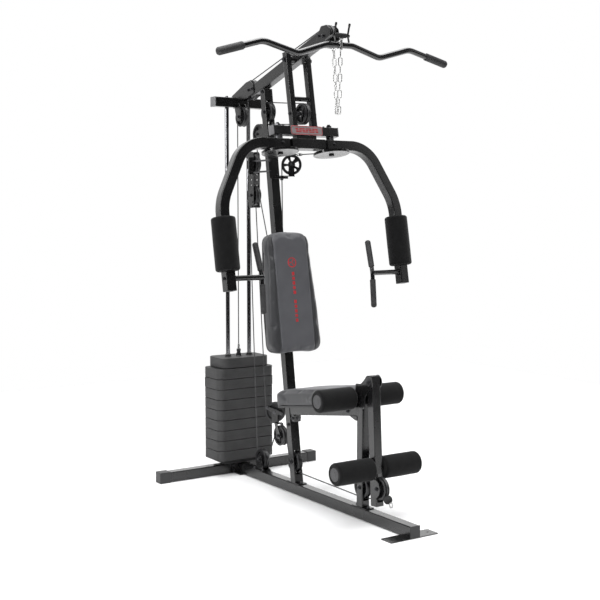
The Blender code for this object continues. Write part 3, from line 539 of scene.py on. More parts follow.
def sweep(path, outline, side, capped=True):
    """An outline (u, v) carried along a path: u runs along side, v across it."""
    path = [Vector(p) for p in path]
    rings = []
    for i, here in enumerate(path):
        ahead = (path[min(i + 1, len(path) - 1)] - path[max(i - 1, 0)]).normalized()
        u = (Vector(side) - ahead * ahead.dot(Vector(side))).normalized()
        v = ahead.cross(u)
        rings.append([here + u * a + v * b for a, b in outline])
    return loft(rings, capped)


def wire(path, radius, steps=12):
    """A round bar or cable along points that may turn any way."""
    path = [Vector(p) for p in path]
    ahead = (path[1] - path[0]).normalized()
    u = ahead.orthogonal().normalized()
    rings = []
    for i, here in enumerate(path):
        ahead = (path[min(i + 1, len(path) - 1)] - path[max(i - 1, 0)]).normalized()
        u = (u - ahead * ahead.dot(u)).normalized()
        v = ahead.cross(u)
        rings.append([here + u * a + v * b for a, b in circle(radius, steps=steps)])
    return loft(rings)


def subdivided(path, spacing=0.02):
    """The same line with points no further apart than spacing."""
    made = [Vector(path[0])]
    for a, b in zip(path, path[1:]):
        a, b = Vector(a), Vector(b)
        count = max(1, math.ceil((b - a).length / spacing))
        made += [a.lerp(b, i / count) for i in range(1, count + 1)]
    return made


def filleted(points, radii, steps=10):
    """Rounds the inner corners of a line of points with arcs of the given radii."""
    path = [Vector(points[0])]
    for i in range(1, len(points) - 1):
        before, here, after = (Vector(points[j]) for j in (i - 1, i, i + 1))
        a, b = (before - here).normalized(), (after - here).normalized()
        radius = radii if isinstance(radii, float) else radii[i - 1]
        half = a.angle(b) / 2
        centre = here + (a + b).normalized() * (radius / math.sin(half))
        start = (here + a * (radius / math.tan(half)) - centre).normalized()
        end = (here + b * (radius / math.tan(half)) - centre).normalized()
        for step in range(steps + 1):
            path.append(centre + radius * start.slerp(end, step / steps))
    path.append(Vector(points[-1]))
    return path


def flat_faced(obj):
    """The object's mesh with its normals weighted by area, so that flats stay flat."""
    weigh = obj.modifiers.new("flats", "WEIGHTED_NORMAL")
    weigh.keep_sharp = True
    weigh.weight = 100
    bpy.context.view_layer.update()
    mesh = evaluated(obj)
    obj.modifiers.remove(weigh)
    return mesh


def piece(name, body, mat, shapes, stands_for=(), crease=35):
    """Joins shapes into one named piece in the frame, on a body."""
    bm = bmesh.new()
    for shape in shapes:
        bm.from_mesh(shape.data)
        bpy.data.objects.remove(shape)
    mesh = mesh_of(bm, name)
    mesh.transform(Matrix.Translation((0, TO_FRAME, 0)))
    mesh.materials.append(mat)
    mesh.shade_smooth()
    mesh.set_sharp_from_angle(angle=math.radians(crease))
    obj = linked(name, mesh)
    if crease <= 50:
        obj.data = flat_faced(obj)
        obj.data.name = name
    if body:
        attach(obj, body)
    if stands_for:
        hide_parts(*stands_for)
    return obj


# Places on the leaning parts

def upright_y(z):
    """Depth of the leaning upright's centre line at a height."""
    return UPRIGHT_FOOT_Y + math.tan(math.radians(LEAN)) * (z - 0.055)


def down_press(distance, x=0.0, forward=0.0):
    """A point on the press frame: distance down from its pivot, and forward of its plane."""
    lean = math.radians(PRESS_LEAN)
    y = PRESS_PIVOT.y - math.sin(lean) * distance - math.cos(lean) * forward
    z = PRESS_PIVOT.z - math.cos(lean) * distance + math.sin(lean) * forward
    return Vector((x, y, z))


PRESS_UP = (down_press(0) - down_press(1)).normalized()
PRESS_FRONT = (down_press(0, forward=1) - down_press(0)).normalized()
PRESS_TURN = (-PRESS_LEAN, 0, 0)


# Frame

def build_base():
    sleeve = RAIL + 0.0055
    middle = sleeve / 2
    tube = bar_box((0.80, RAIL, RAIL), (0, 0, middle))
    piece("stabiliser_tube", "frame", BLACK, [tube], ["rear_stabiliser"])
    caps = []
    for side in (-1, 1):
        caps.append(box((0.0525, sleeve, sleeve), (side * 0.3997, 0, middle), edge=0.0025, steps=3))
        caps.append(box((0.0020, sleeve - 0.010, sleeve - 0.010), (side * 0.4255, 0, middle)))
    piece("stabiliser_caps", "frame", CAP, caps)

    top = RAIL_TOP - RAIL / 2
    front, rear = -1.300, -RAIL / 2 - 0.0004
    rail = bar_box((RAIL, rear - front, RAIL), (0, (rear + front) / 2, top))
    plate = slab(softened([(-0.115, -0.033), (0.115, -0.033), (0.115, 0.033), (-0.115, 0.033)],
                          0.006), 0.0035, Matrix.Translation((0, -1.267, 0.00175)),
                 holes=[circle(0.0045, (side * 0.088, 0)) for side in (-1, 1)])
    weld = box((RAIL + 0.006, 0.060, 0.004), (0, -1.267, 0.0048), edge=0.0019)
    piece("base_rail_tube", "frame", BLACK, [rail, plate, weld], ["base_rail"])
    piece("rail_front_cap", "frame", CAP,
          [box((RAIL + 0.002, 0.0045, RAIL + 0.001), (0, front + 0.0018, top), edge=0.0016)])

    outline = softened([(-0.238, 0.046), (-0.182, 0.046), (-0.184, 0.080), (-0.194, 0.115),
                        (-0.226, 0.115), (-0.236, 0.080)], 0.010)
    cheeks = [side_plate(outline, side * (CHEEK + 0.002), 0.0035) for side in (-1, 1)]
    flange = box((0.050, 0.086, 0.0040), (0, -0.204, RAIL_TOP + 0.0012), edge=0.0015)
    piece("base_pulley_bracket", "frame", BLACK, cheeks + [flange])
    screws = bolt(YZ["base"], reach=0.0195, size=0.0070)
    for y in (-0.168, -0.240):
        for x in (0.016, -0.016):
            screws += bolt_head((x, y, RAIL_TOP + 0.0032), UP, 0.0006, 0.0055)
    piece("base_bolts", "frame", DARK_STEEL, screws)

    corner = [bar_box((0.110, 0.0035, 0.046), (0, -0.0240, 0.0265))]
    corner += [box((0.020, 0.060, 0.004), (side * 0.0330, -0.050, 0.0045)) for side in (-1, 1)]
    corner += [side_plate(softened([(-0.024, 0.004), (-0.080, 0.004), (-0.024, 0.046)], 0.006),
                          side * 0.0245, 0.0035) for side in (-1, 1)]
    piece("base_corner_bracket", "frame", BLACK, corner)
    screws = []
    for x in (-0.044, 0.044):
        for z in (0.014, 0.039):
            screws += bolt_head((x, -0.0262, z), FORWARD, 0.0004, 0.0052)
    piece("base_corner_bolts", "frame", DARK_STEEL, screws)


def foot_plate(y):
    """The flange under a post, with a bolt at each end."""
    z = RAIL_TOP + 0.0022
    flange = box((0.044, 0.094, 0.0035), (0, y, z), edge=0.0012)
    screws = []
    for step in (-0.036, 0.036):
        screws += bolt_head((0, y + step, z + 0.0020), UP, 0.0005, 0.0060)
    return flange, screws


def build_upright():
    foot, head = 0.02, 1.84
    post = beam((upright_y(foot), foot), (upright_y(head), head), UPRIGHT_WIDTH, TUBE, edge=0.003)
    under_boom = box((0.2, 1.0, 0.2), (0, upright_y(1.77), 1.8655), (-BOOM_RISE, 0, 0), 0)
    below_rail = box((0.2, 0.4, 0.2), (0, UPRIGHT_FOOT_Y, RAIL_TOP - 0.0996), edge=0)
    low, top = YZ["upright_low"], YZ["upright_top"]
    slots = [box((2 * CHEEK, 0.14, 0.104), (0, *low), edge=0),
             box((2 * CHEEK, 0.14, 0.124), (0, top[0], top[1] - 0.010), edge=0)]
    post = cut(post, under_boom, below_rail, *slots)
    y, z = YZ["upright_rear"]
    around = [(-0.068, 0.030), (-0.076, -0.033), (-0.012, -0.016), (0.013, -0.011),
              (0.013, 0.011), (-0.012, 0.017)]
    outline = softened([(y + dy, z + dz) for dy, dz in around], 0.010)
    cheeks = [side_plate(outline, side * (CHEEK + 0.0015), 0.003) for side in (-1, 1)]
    tabs = []
    for height in (0.730, 1.010):
        front = upright_y(height) - TUBE / 2
        tabs.append(box((0.030, 0.009, 0.050), (0, front - 0.0010, height), (-LEAN, 0, 0), 0.002))
    flange, screws = foot_plate(upright_y(RAIL_TOP) + 0.002)
    piece("upright_tube", "frame", BLACK, [post, *cheeks, *tabs, flange], ["main_upright"])
    for name in ("upright_low", "upright_top"):
        screws += bolt(YZ[name], reach=0.0230, size=0.0072)
    screws += bolt(YZ["upright_rear"], reach=0.0172, size=0.0066)
    for height in (0.700, 1.040):
        back = upright_y(height) + TUBE / 2 + 0.0010
        screws += bolt_head((0, back, height), (0, 1, 0), 0.0004, 0.0065)
    for height in (0.30, 1.755):
        screws += bolt((upright_y(height), height), reach=0.0223, size=0.0072)
    piece("upright_bolts", "frame", DARK_STEEL, screws)


def build_seat_frame():
    y, z = YZ["post"]
    post = beam((y, RAIL_TOP + 0.0004), (y, 0.4700), TUBE, TUBE)
    post = cut(post, box((2 * CHEEK, 0.1, 0.104), (0, y, z), edge=0))
    rise = math.tan(math.radians(SEAT_RISE))
    start, end = -0.452, -0.955
    rail = bar_box((TUBE, (start - end) / math.cos(math.radians(SEAT_RISE)), TUBE),
                   (0, (start + end) / 2, 0.3625 + rise * (-0.47 - (start + end) / 2)),
                   (-SEAT_RISE, 0, 0))
    gusset = softened([(-0.908, 0.4090), (-0.957, 0.4165), (-0.957, 0.396), (-0.944, 0.397)], 0.005)
    gussets = [side_plate(gusset, side * 0.0200, 0.0030) for side in (-1, 1)]
    block_z = 0.332
    gussets.append(box((0.034, 0.030, 0.030), (0, upright_y(block_z) - 0.0320, block_z),
                       edge=0.002))
    flange, screws = foot_plate(y)
    piece("seat_post_and_rail", "frame", BLACK, [post, rail, *gussets, flange], ["seat_frame"])
    screws += bolt(YZ["post"], reach=0.0205, size=0.0072)
    screws += bolt((upright_y(block_z) - 0.0330, block_z), reach=0.0180, size=0.0062)
    screws += bolt_head((0, upright_y(block_z) - 0.0475, block_z), FORWARD, 0.0004, 0.0062)
    screws += bolt((-0.893, 0.4262), reach=0.0205, size=0.0062)
    piece("seat_frame_bolts", "frame", DARK_STEEL, screws)

    ear = softened([(-0.916, 0.466), (-0.916, 0.505), (-0.934, 0.514), (-0.950, 0.516),
                    (-0.952, 0.547), (-0.985, 0.549), (-1.010, 0.571), (-1.022, 0.586),
                    (-1.040, 0.590), (-1.057, 0.579), (-1.063, 0.562), (-1.057, 0.545),
                    (-1.044, 0.535), (-1.012, 0.500), (-1.012, 0.452), (-0.954, 0.452),
                    (-0.954, 0.466)], 0.006)
    plates = [side_plate(ear, side * 0.0222, 0.0035, edge=0.0008) for side in (-1, 1)]
    web = box((0.0440, 0.060, 0.004), (0, -0.981, 0.4725))
    back = box((0.0440, 0.004, 0.050), (0, -0.9535, 0.4960))
    piece("lever_bracket_plates", "frame", BLACK, [*plates, web, back], ["lever_bracket"])
    pivot_yz = LEVER_PIVOT.yz
    pins = [rod(0.0078, 0.052, (0, *pivot_yz))]
    pins += [rod(0.0155, 0.0022, (side * 0.0252, *pivot_yz), edge=0.0007) for side in (-1, 1)]
    piece("lever_pivot_washers", "frame", DARK_STEEL,
          pins + bolt(pivot_yz, reach=0.0265, size=0.0090))


def build_boom():
    rise = math.tan(math.radians(BOOM_RISE))
    start, end, half = -0.146, -0.700, 0.02624
    top = 1.815 + rise * (-0.233 - start) - half
    boom = beam((start, top), (end, top + rise * (start - end)), TUBE, 0.050)
    rear, front = YZ["boom_rear"], YZ["boom_front"]
    boom = cut(boom, box((2 * CHEEK, 0.10, 0.15), (0, rear[0] - 0.005, rear[1]), edge=0),
               box((2 * CHEEK, 0.10, 0.15), (0, front[0] - 0.002, front[1]), edge=0))
    sleeve = rod(0.0165, 0.0735, PRESS_PIVOT)
    piece("boom_tube", "frame", BLACK, [boom, sleeve], ["top_boom"])
    axle = [rod(0.0078, 0.142, PRESS_PIVOT)]
    axle += bolt(PRESS_PIVOT.yz, reach=0.0655, size=0.0095)
    piece("boom_bolts", "frame", DARK_STEEL, axle)

    outline = softened([(0.020, 1.748), (0.012, 1.757), (-0.112, 1.807), (-0.142, 1.812),
                        (-0.176, 1.796), (-0.180, 1.756), (-0.110, 1.735), (-0.0225, 1.735),
                        (-0.0225, 1.748)], 0.004)
    plates = [side_plate(outline, side * 0.0210, 0.0032) for side in (-1, 1)]
    web = box((0.043, 0.040, 0.004), (0, 0.0, 1.7499))
    strap = box((0.030, 0.0030, 0.0465), (0, -0.0238, 1.7253))
    piece("boom_rear_plates", "frame", BLACK, [*plates, web, strap], ["boom_rear_bracket"])
    screws = bolt(YZ["boom_rear"], reach=0.0226, size=0.0070)
    screws += bolt((-0.165, 1.775), reach=0.0226, size=0.0062)
    screws += bolt_head((0, 0.002, 1.7520), UP, 0.0005, 0.0068)
    piece("boom_rear_bolts", "frame", DARK_STEEL, screws)

    outline = softened([(-0.668, 1.898), (-0.672, 1.932), (-0.704, 1.977), (-0.746, 1.977),
                        (-0.766, 1.960), (-0.770, 1.940), (-0.766, 1.905),
                        (-0.740, 1.884)], 0.006)
    plates = [side_plate(outline, side * 0.0210, 0.0032, edge=0.0008) for side in (-1, 1)]
    web = box((0.043, 0.0030, 0.034), (0, -0.7675, 1.928))
    rods = [wire(filleted([(side * 0.0222, -0.740, 1.917), (side * 0.0290, -0.786, 1.926),
                           (side * PRONG_X, *CRADLE)], 0.05, 4), 0.0050)
            for side in (-1, 1)]
    rods += [wire(filleted([(side * PRONG_X, -0.824, 1.968), (side * PRONG_X, -0.813, 1.930),
                            (side * PRONG_X, -0.821, 1.902)], 0.012, 6), 0.0040)
             for side in (-1, 1)]
    rods.append(rod(0.0060, 0.080, (0, *CRADLE)))
    piece("boom_head_plates", "frame", BLACK, [*plates, web, *rods], ["boom_head_bracket"])
    tips = [lathe([(0, 0.0060), (0.0030, 0.0055), (0.0046, 0.0035), (0.0048, -0.004),
                   (0.0042, -0.0060), (0, -0.0060)], (side * PRONG_X, -0.8250, 1.9700),
                  (0, -0.25, 1), 20) for side in (-1, 1)]
    tips.append(rod(0.0092, 0.052, (0, *CRADLE), edge=0.002))
    piece("cradle_tips", "frame", RUBBER, tips)
    screws = bolt(YZ["boom_front"], reach=0.0228, size=0.0075)
    screws += bolt((-0.690, 1.940), reach=0.0228, size=0.0060)
    piece("boom_head_bolts", "frame", DARK_STEEL, screws)


def build_guides():
    z = 1.7253
    size = 0.0445
    bar = bar_box((0.257, size, size), (0, 0, z))
    outline = softened([(-0.060, 1.640), (-0.026, 1.640), (-0.004, 1.690), (-0.004, 1.712),
                        (-0.040, 1.7225), (-0.060, 1.690)], 0.010)
    hanger = [side_plate(outline, side * (CHEEK + 0.002), 0.0035) for side in (-1, 1)]
    saddle = box((0.034, 0.040, 0.004), (0, -0.010, z - size / 2 - 0.0010))
    piece("crossbar_tube", "frame", BLACK, [bar, *hanger, saddle], ["rod_crossbar"])
    caps = [box((0.0045, size + 0.0010, size + 0.0010), (side * 0.1287, 0, z), edge=0.0016)
            for side in (-1, 1)]
    piece("crossbar_caps", "frame", LIGHT_CAP, caps)
    screws = bolt(YZ["stack"], reach=0.0194, size=0.0066)
    for side in (-1, 1):
        screws += bolt_head((side * ROD_X, 0, z + size / 2 + 0.0008), UP, 0.0005, 0.0072)
    piece("crossbar_bolts", "frame", DARK_STEEL, screws)

    low, high = RAIL_TOP + 0.0025, z - size / 2 - 0.0004
    for side, hand in HANDS:
        bar = rod(ROD_R, high - low, (side * ROD_X, 0, (low + high) / 2), UP, 36, 0.0008)
        piece("guide_rod_bar_" + hand, "frame", CHROME, [bar], ["guide_rod_" + hand])

    bumper = box((0.220, 0.110, 0.0190), (0, 0, 0.0648), edge=0.005, steps=4)
    base = box((0.170, 0.090, 0.0050), (0, 0, RAIL_TOP + 0.0050), edge=0.0015)
    piece("stack_bumper_block", "frame", RUBBER, [bumper], ["stack_bumper"])
    piece("stack_base_plate", "frame", BLACK, [base])


# Weight stack

def plate_shell(half, low, high, name, body, stands_for=(), corner=PLATE_CORNER):
    """A filled plastic shell: soft edges, and a shallow parting line round its middle."""
    thick = high - low
    edge, groove = 0.0022, 0.0005
    levels = [(0.0, -edge), (0.0007, -0.0007), (edge, 0.0), (thick / 2 - 0.0010, 0.0),
              (thick / 2, -groove), (thick / 2 + 0.0010, 0.0), (thick - edge, 0.0),
              (thick - 0.0007, -0.0007), (thick, -edge)]
    rings = []
    for height, offset in levels:
        grown = rounded_rectangle(half[0] + offset, half[1] + offset, corner + offset, 8)
        rings.append([Vector((x, y, low + height)) for x, y in grown])
    return piece(name, body, SHELL, [loft(rings)], stands_for, crease=50)


def build_stack():
    low = STACK_BASE
    for i in range(RESTING):
        stands_for = ["resting_plates"] if i == 0 else []
        plate_shell(PLATE_HALF, low + 0.0004, low + PLATE_PITCH - 0.0012,
                    "resting_plate_%d" % (RESTING - i), "frame", stands_for)
        low += PLATE_PITCH
    pin_z = low + PLATE_PITCH / 2
    shifts = (0.0, 0.0015, -0.0010)
    for i in range(LIFTED):
        number = LIFTED - i
        half = (PLATE_HALF[0] + shifts[i], PLATE_HALF[1])
        plate_shell(half, low + 0.0004, low + PLATE_PITCH - 0.0012,
                    "lifted_plate_%d" % number, "stack_carriage", ["weight_plate_%d" % number])
        low += PLATE_PITCH
    plate_shell(TOP_PLATE_HALF, low + 0.0010, low + PLATE_PITCH, "top_plate_shell",
                "stack_carriage", ["top_plate"])
    top = low + PLATE_PITCH
    bush = [(ROD_R + 0.0004, 0.0085), (0.0120, 0.0085), (0.0132, 0.0070), (0.0136, 0.0020),
            (0.0160, 0.0005), (0.0160, -0.002), (ROD_R + 0.0004, -0.002)]
    clip = [(ROD_R + 0.0006, 0.0015), (0.0124, 0.0015), (0.0124, -0.0015),
            (ROD_R + 0.0006, -0.0015)]
    for name, mat, profile, above in (("rod_bushes", RUBBER, bush, 0.001),
                                      ("rod_clips", ZINC, clip, 0.012)):
        rings = [lathe(profile, (side * ROD_X, 0, top + above), steps=36, closed=True)
                 for side in (-1, 1)]
        piece(name, "stack_carriage", mat, rings)
    stem = [rod(0.0075, 0.245, (0, 0, top - 0.110), UP),
            hexagon(0.0135, 0.012, (0, 0, top + 0.0065), UP),
            rod(0.0165, 0.002, (0, 0, top + 0.0008), UP),
            rod(0.0088, 0.030, (0, 0, top + 0.018), UP),
            hexagon(0.0115, 0.009, (0, 0, top + 0.0265), UP)]
    piece("stack_stem", "stack_carriage", DARK_STEEL, stem)
    socket = lathe([(0, 0.022), (CABLE_R + 0.0006, 0.021), (0.0052, 0.012), (0.0056, -0.008),
                    (0, -0.008)], (0, 0, top + 0.038), steps=24)
    piece("stack_ferrule", "stack_carriage", ZINC, [socket])

    shank = lathe([(0, 0.012), (0.0030, 0.012), (0.0040, 0.009), (0.0040, -0.080), (0, -0.080)],
                  (0, 0, pin_z), (0, -1, 0), 24)
    piece("pin_shank", "selector_pin", CHROME, [shank], ["selector_pin"])
    knob = lathe([(0, 0.112), (0.006, 0.1118), (0.0105, 0.1095), (0.0122, 0.105),
                  (0.0118, 0.097), (0.0090, 0.090), (0.0078, 0.086), (0.0095, 0.0822),
                  (0.0095, 0.0816), (0, 0.0816)], (0, 0, pin_z), (0, 1, 0), 32)
    piece("pin_knob", "selector_pin", RED, [knob])


# Pads

def simulate(obj, swell, pressure=4.0, frames=20):
    """Puffs a pad out as cloth under pressure, and keeps each point within swell of its start."""
    remesh = obj.modifiers.new("even", "REMESH")
    remesh.mode = "VOXEL"
    remesh.voxel_size = 0.0050
    obj = as_mesh(obj)
    start = [vertex.co.copy() for vertex in obj.data.vertices]
    cloth = obj.modifiers.new("cloth", "CLOTH")
    settings = cloth.settings
    settings.use_pressure = True
    settings.uniform_pressure_force = pressure
    settings.effector_weights.gravity = 0.0
    settings.quality = 5
    cloth.point_cache.frame_start = 1
    cloth.point_cache.frame_end = frames
    scene = bpy.context.scene
    for step in range(1, frames + 1):
        scene.frame_set(step)
    swollen = as_mesh_raw(obj)
    scene.frame_set(1)
    for vertex, here in zip(swollen.data.vertices, start):
        move = vertex.co - here
        if move.length > swell:
            vertex.co = here + move.normalized() * swell
    return swollen


def as_mesh_raw(obj):
    """Like as_mesh, but keeps every point in its order."""
    mesh = evaluated(obj)
    bpy.data.objects.remove(obj)
    return linked("shape", mesh)


def smoothed(obj):
    smooth = obj.modifiers.new("even", "SMOOTH")
    smooth.factor = 0.6
    smooth.iterations = 4
    fine = obj.modifiers.new("fine", "SUBSURF")
    fine.levels = fine.render_levels = 1
    return as_mesh_raw(obj)


def draw_in(obj, seam_x, front, depth=0.0030, width=0.0030):
    """Draws the skin in along the two seams that run at seam_x either side of the middle."""
    for vertex in obj.data.vertices:
        if vertex.co.z < front:
            continue
        gap = abs(abs(vertex.co.x) - seam_x)
        vertex.co.z -= depth * math.exp(-(gap / width) ** 2)


def pad(name, outline, thick, place, seam_x, panel_half, stands_for):
    """A stuffed pad on a flat board. Local +Z is the side that is leaned or sat on."""
    crown, swell = 0.006, 0.010
    core = slab(outline, thick - 2 * crown, Matrix.Identity(4), 0.006)
    skin = smoothed(simulate(core, swell))
    half = thick / 2
    for vertex in skin.data.vertices:
        vertex.co.z = max(vertex.co.z, 0.006 - half)
        if vertex.co.z > 0:
            grow = 1 - min(1.0, (vertex.co.x / panel_half(vertex.co.y)) ** 2) ** 2
            vertex.co.z += crown * 0.6 * max(0.0, grow)
    draw_in(skin, seam_x, half * 0.35)
    skin.data.transform(place)
    skin.data.materials.clear()
    obj = piece(name, "frame", VINYL_PANEL, [skin], [stands_for], crease=80)
    return obj


def two_tone(obj, place, seam_x):
    """Gives the bolsters outside the seams, and the pad's sides, the darker vinyl."""
    obj.data.materials.append(VINYL_SIDE)
    to_local = (Matrix.Translation((0, TO_FRAME, 0)) @ place).inverted()
    for face in obj.data.polygons:
        local = to_local @ face.center
        if abs(local.x) > seam_x or local.z < 0.010:
            face.material_index = 1


def both_sides(half):
    """An outline from its right half, mirrored in x."""
    return half + [(-x, v) for x, v in reversed(half)]


def build_pads():
    rise = math.radians(SEAT_RISE)
    depth, thick = 0.365, 0.0670
    rear_low = Vector((0, -0.527, 0.3957))
    along = Vector((0, -math.cos(rise), math.sin(rise)))
    up = Vector((0, math.sin(rise), math.cos(rise)))
    place = Matrix.Translation(rear_low + along * depth / 2 + up * thick / 2)
    place = place @ Matrix.Rotation(-rise, 4, "X")
    outline = rounded_rectangle(0.146, depth / 2 - 0.003, 0.036)
    seam = 0.098
    seat = pad("seat_cushion", outline, thick, place, seam, lambda y: 0.146, "seat_pad")
    two_tone(seat, place, seam)
    board = slab(rounded_rectangle(0.138, depth / 2 - 0.012, 0.028), 0.008,
                 place @ Matrix.Translation((0, 0, 0.0045 - thick / 2)))
    piece("seat_board", "frame", CAP, [board])

    lean = math.radians(LEAN + 0.6)
    length, thick = 0.536, 0.062
    place = Matrix.Translation((0, -0.4376, 0.8755)) @ Matrix.Rotation(math.pi / 2 - lean, 4, "X")
    half = length / 2
    taper = [(0.1355, -half + 0.002), (0.1355, -0.10), (0.1085, half - 0.002)]
    outline = softened(both_sides(taper), 0.058, 10)
    seam = 0.086
    back = pad("back_cushion", outline, thick, place, seam,
               lambda y: 0.1355 if y < -0.10 else 0.1355 - 0.07 * (y + 0.10), "backrest_pad")
    two_tone(back, place, seam)
    board = slab(softened(both_sides([(x * 0.92, v * 0.96) for x, v in taper]), 0.04, 8), 0.008,
                 place @ Matrix.Translation((0, 0, 0.0045 - thick / 2)))
    piece("back_board", "frame", CAP, [board])
    back_marks(back, place)


def surface_height(obj, place):
    """A function from a pad's local (x, y) to the height of its skin there."""
    to_frame = Matrix.Translation((0, TO_FRAME, 0)) @ place
    to_local = to_frame.inverted()

    def height(x, y):
        start = to_frame @ Vector((x, y, 0.2))
        ahead = (to_frame.to_3x3() @ Vector((0, 0, -1))).normalized()
        hit, where, _, _ = obj.ray_cast(start, ahead)
        return (to_local @ where).z if hit else 0.02
    return height


def lay_on(shapes, height, lift=0.0004):
    """Lays flat shapes on a pad's skin."""
    for shape in shapes:
        for vertex in shape.data.vertices:
            vertex.co.z += height(vertex.co.x, vertex.co.y) + lift


def ring(outer, inner, centre, steps=48):
    rows = [[Vector((centre[0] + r * math.cos(2 * math.pi * i / steps),
                     centre[1] + r * math.sin(2 * math.pi * i / steps), z))
             for i in range(steps)]
            for r, z in ((inner, -0.0006), (inner, 0), (outer, 0), (outer, -0.0006))]
    return loft(rows, capped=False)


def back_marks(back, place):
    """A plain ring and a row of blocks in red, standing for the print on the back pad."""
    height = surface_height(back, place)
    centre = (0.0, 0.128)
    shapes = [ring(0.0215, 0.0180, centre)]
    for angle in (90, 210, 330):
        spoke = box((0.0036, 0.0120, 0.0006), (0, 0.0085, -0.0003), edge=0)
        spoke.data.transform(Matrix.Translation((*centre, 0))
                             @ Matrix.Rotation(math.radians(angle), 4, "Z"))
        shapes.append(spoke)
    start, pitch, count, gap_at, hollow = 0.0790, 0.0202, 11, 5, 0.0026
    for i in range(count):
        if i == gap_at:
            continue
        y = start - i * pitch
        long = 0.0130 if i % 2 else 0.0150
        for row in range(4):
            shapes.append(box((0.0105, long / 4 - 0.0011, 0.0006),
                              (0, y - (row - 1.5) * long / 4, -0.0003), edge=0))
        shapes.append(box((hollow, long, 0.0006), (0.0058, y, -0.0003), edge=0))
    lay_on(shapes, height)
    for shape in shapes:
        shape.data.transform(place)
    piece("back_print", "frame", RED, shapes, crease=60)


# Rollers and leg lever

def foam_tube(radius, half, bore):
    """A foam sleeve's profile: rounded shoulders and a slightly dished end."""
    shoulder = 0.010
    profile = [(bore, half - 0.003)]
    for step in range(7):
        angle = math.radians(90 - 15 * step)
        profile.append((radius - shoulder + shoulder * math.cos(angle),
                        half - shoulder + shoulder * math.sin(angle)))
    profile.append((radius + 0.0004, 0.0))
    for step in range(7):
        angle = math.radians(15 * step)
        profile.append((radius - shoulder + shoulder * math.cos(angle),
                        shoulder - half - shoulder * math.sin(angle)))
    profile.append((bore, 0.003 - half))
    return profile


def build_rollers():
    for word, centre, inner, body in (("upper", UPPER_ROLLER, 0.032, "frame"),
                                      ("lower", LOWER_ROLLER, 0.0245, "leg_lever")):
        bar = rod(0.0125, 2 * ROLLER_HALF - 0.010, (0, *centre), edge=0.001)
        piece(word + "_roller_bar", body, BLACK, [bar], [word + "_roller_tube"])
        for side, hand in HANDS:
            half = (ROLLER_HALF - inner) / 2
            middle = (side * (ROLLER_HALF + inner) / 2, *centre)
            sleeve = lathe(foam_tube(FOAM_R, half, 0.0129), middle, (1, 0, 0), 56, closed=True)
            name = "%s_roller_sleeve_%s" % (word, hand)
            obj = piece(name, body, FOAM, [sleeve], ["%s_foam_%s" % (word, hand)], crease=50)
            outer = (side * (ROLLER_HALF - 0.0035), *centre)
            cap = lathe([(0, 0.0045), (0.0100, 0.0045), (0.0110, 0.0035), (0.0215, 0.0035),
                         (0.0235, 0.0050), (0.0262, 0.0042), (0.0275, 0.0018), (0.0275, -0.004),
                         (0, -0.004)], outer, (side, 0, 0), 44)
            piece("%s_roller_cap_%s" % (word, hand), body, DISC, [cap])


def build_lever():
    top, foot = (-1.0365, 0.584), (-1.0655, 0.074)
    y, z = YZ["lever"]
    lever = cut(beam(top, foot, TUBE, TUBE), box((2 * CHEEK, 0.14, 0.112), (0, -1.08, z), edge=0))
    ear = softened([(-1.056, 0.104), (-1.084, 0.108), (-1.104, 0.126), (-1.109, 0.150),
                    (-1.098, 0.176), (-1.056, 0.194)], 0.012)
    ears = [side_plate(ear, side * 0.0200, 0.0032, edge=0.0008) for side in (-1, 1)]
    piece("lever_tube", "leg_lever", BLACK, [lever, *ears], ["leg_lever"])
    cap = box((TUBE - 0.001, TUBE - 0.001, 0.004), (0, top[0], top[1] + 0.0008), (-3.25, 0, 0),
              0.0014)
    piece("lever_top_cap", "leg_lever", CAP, [cap])
    screws = bolt((y, z), reach=0.0225, size=0.0078)
    screws += bolt(LOWER_ROLLER, reach=0.0200, size=0.0060)
    piece("lever_bolts", "leg_lever", DARK_STEEL, screws)


# Press frame and butterfly arms

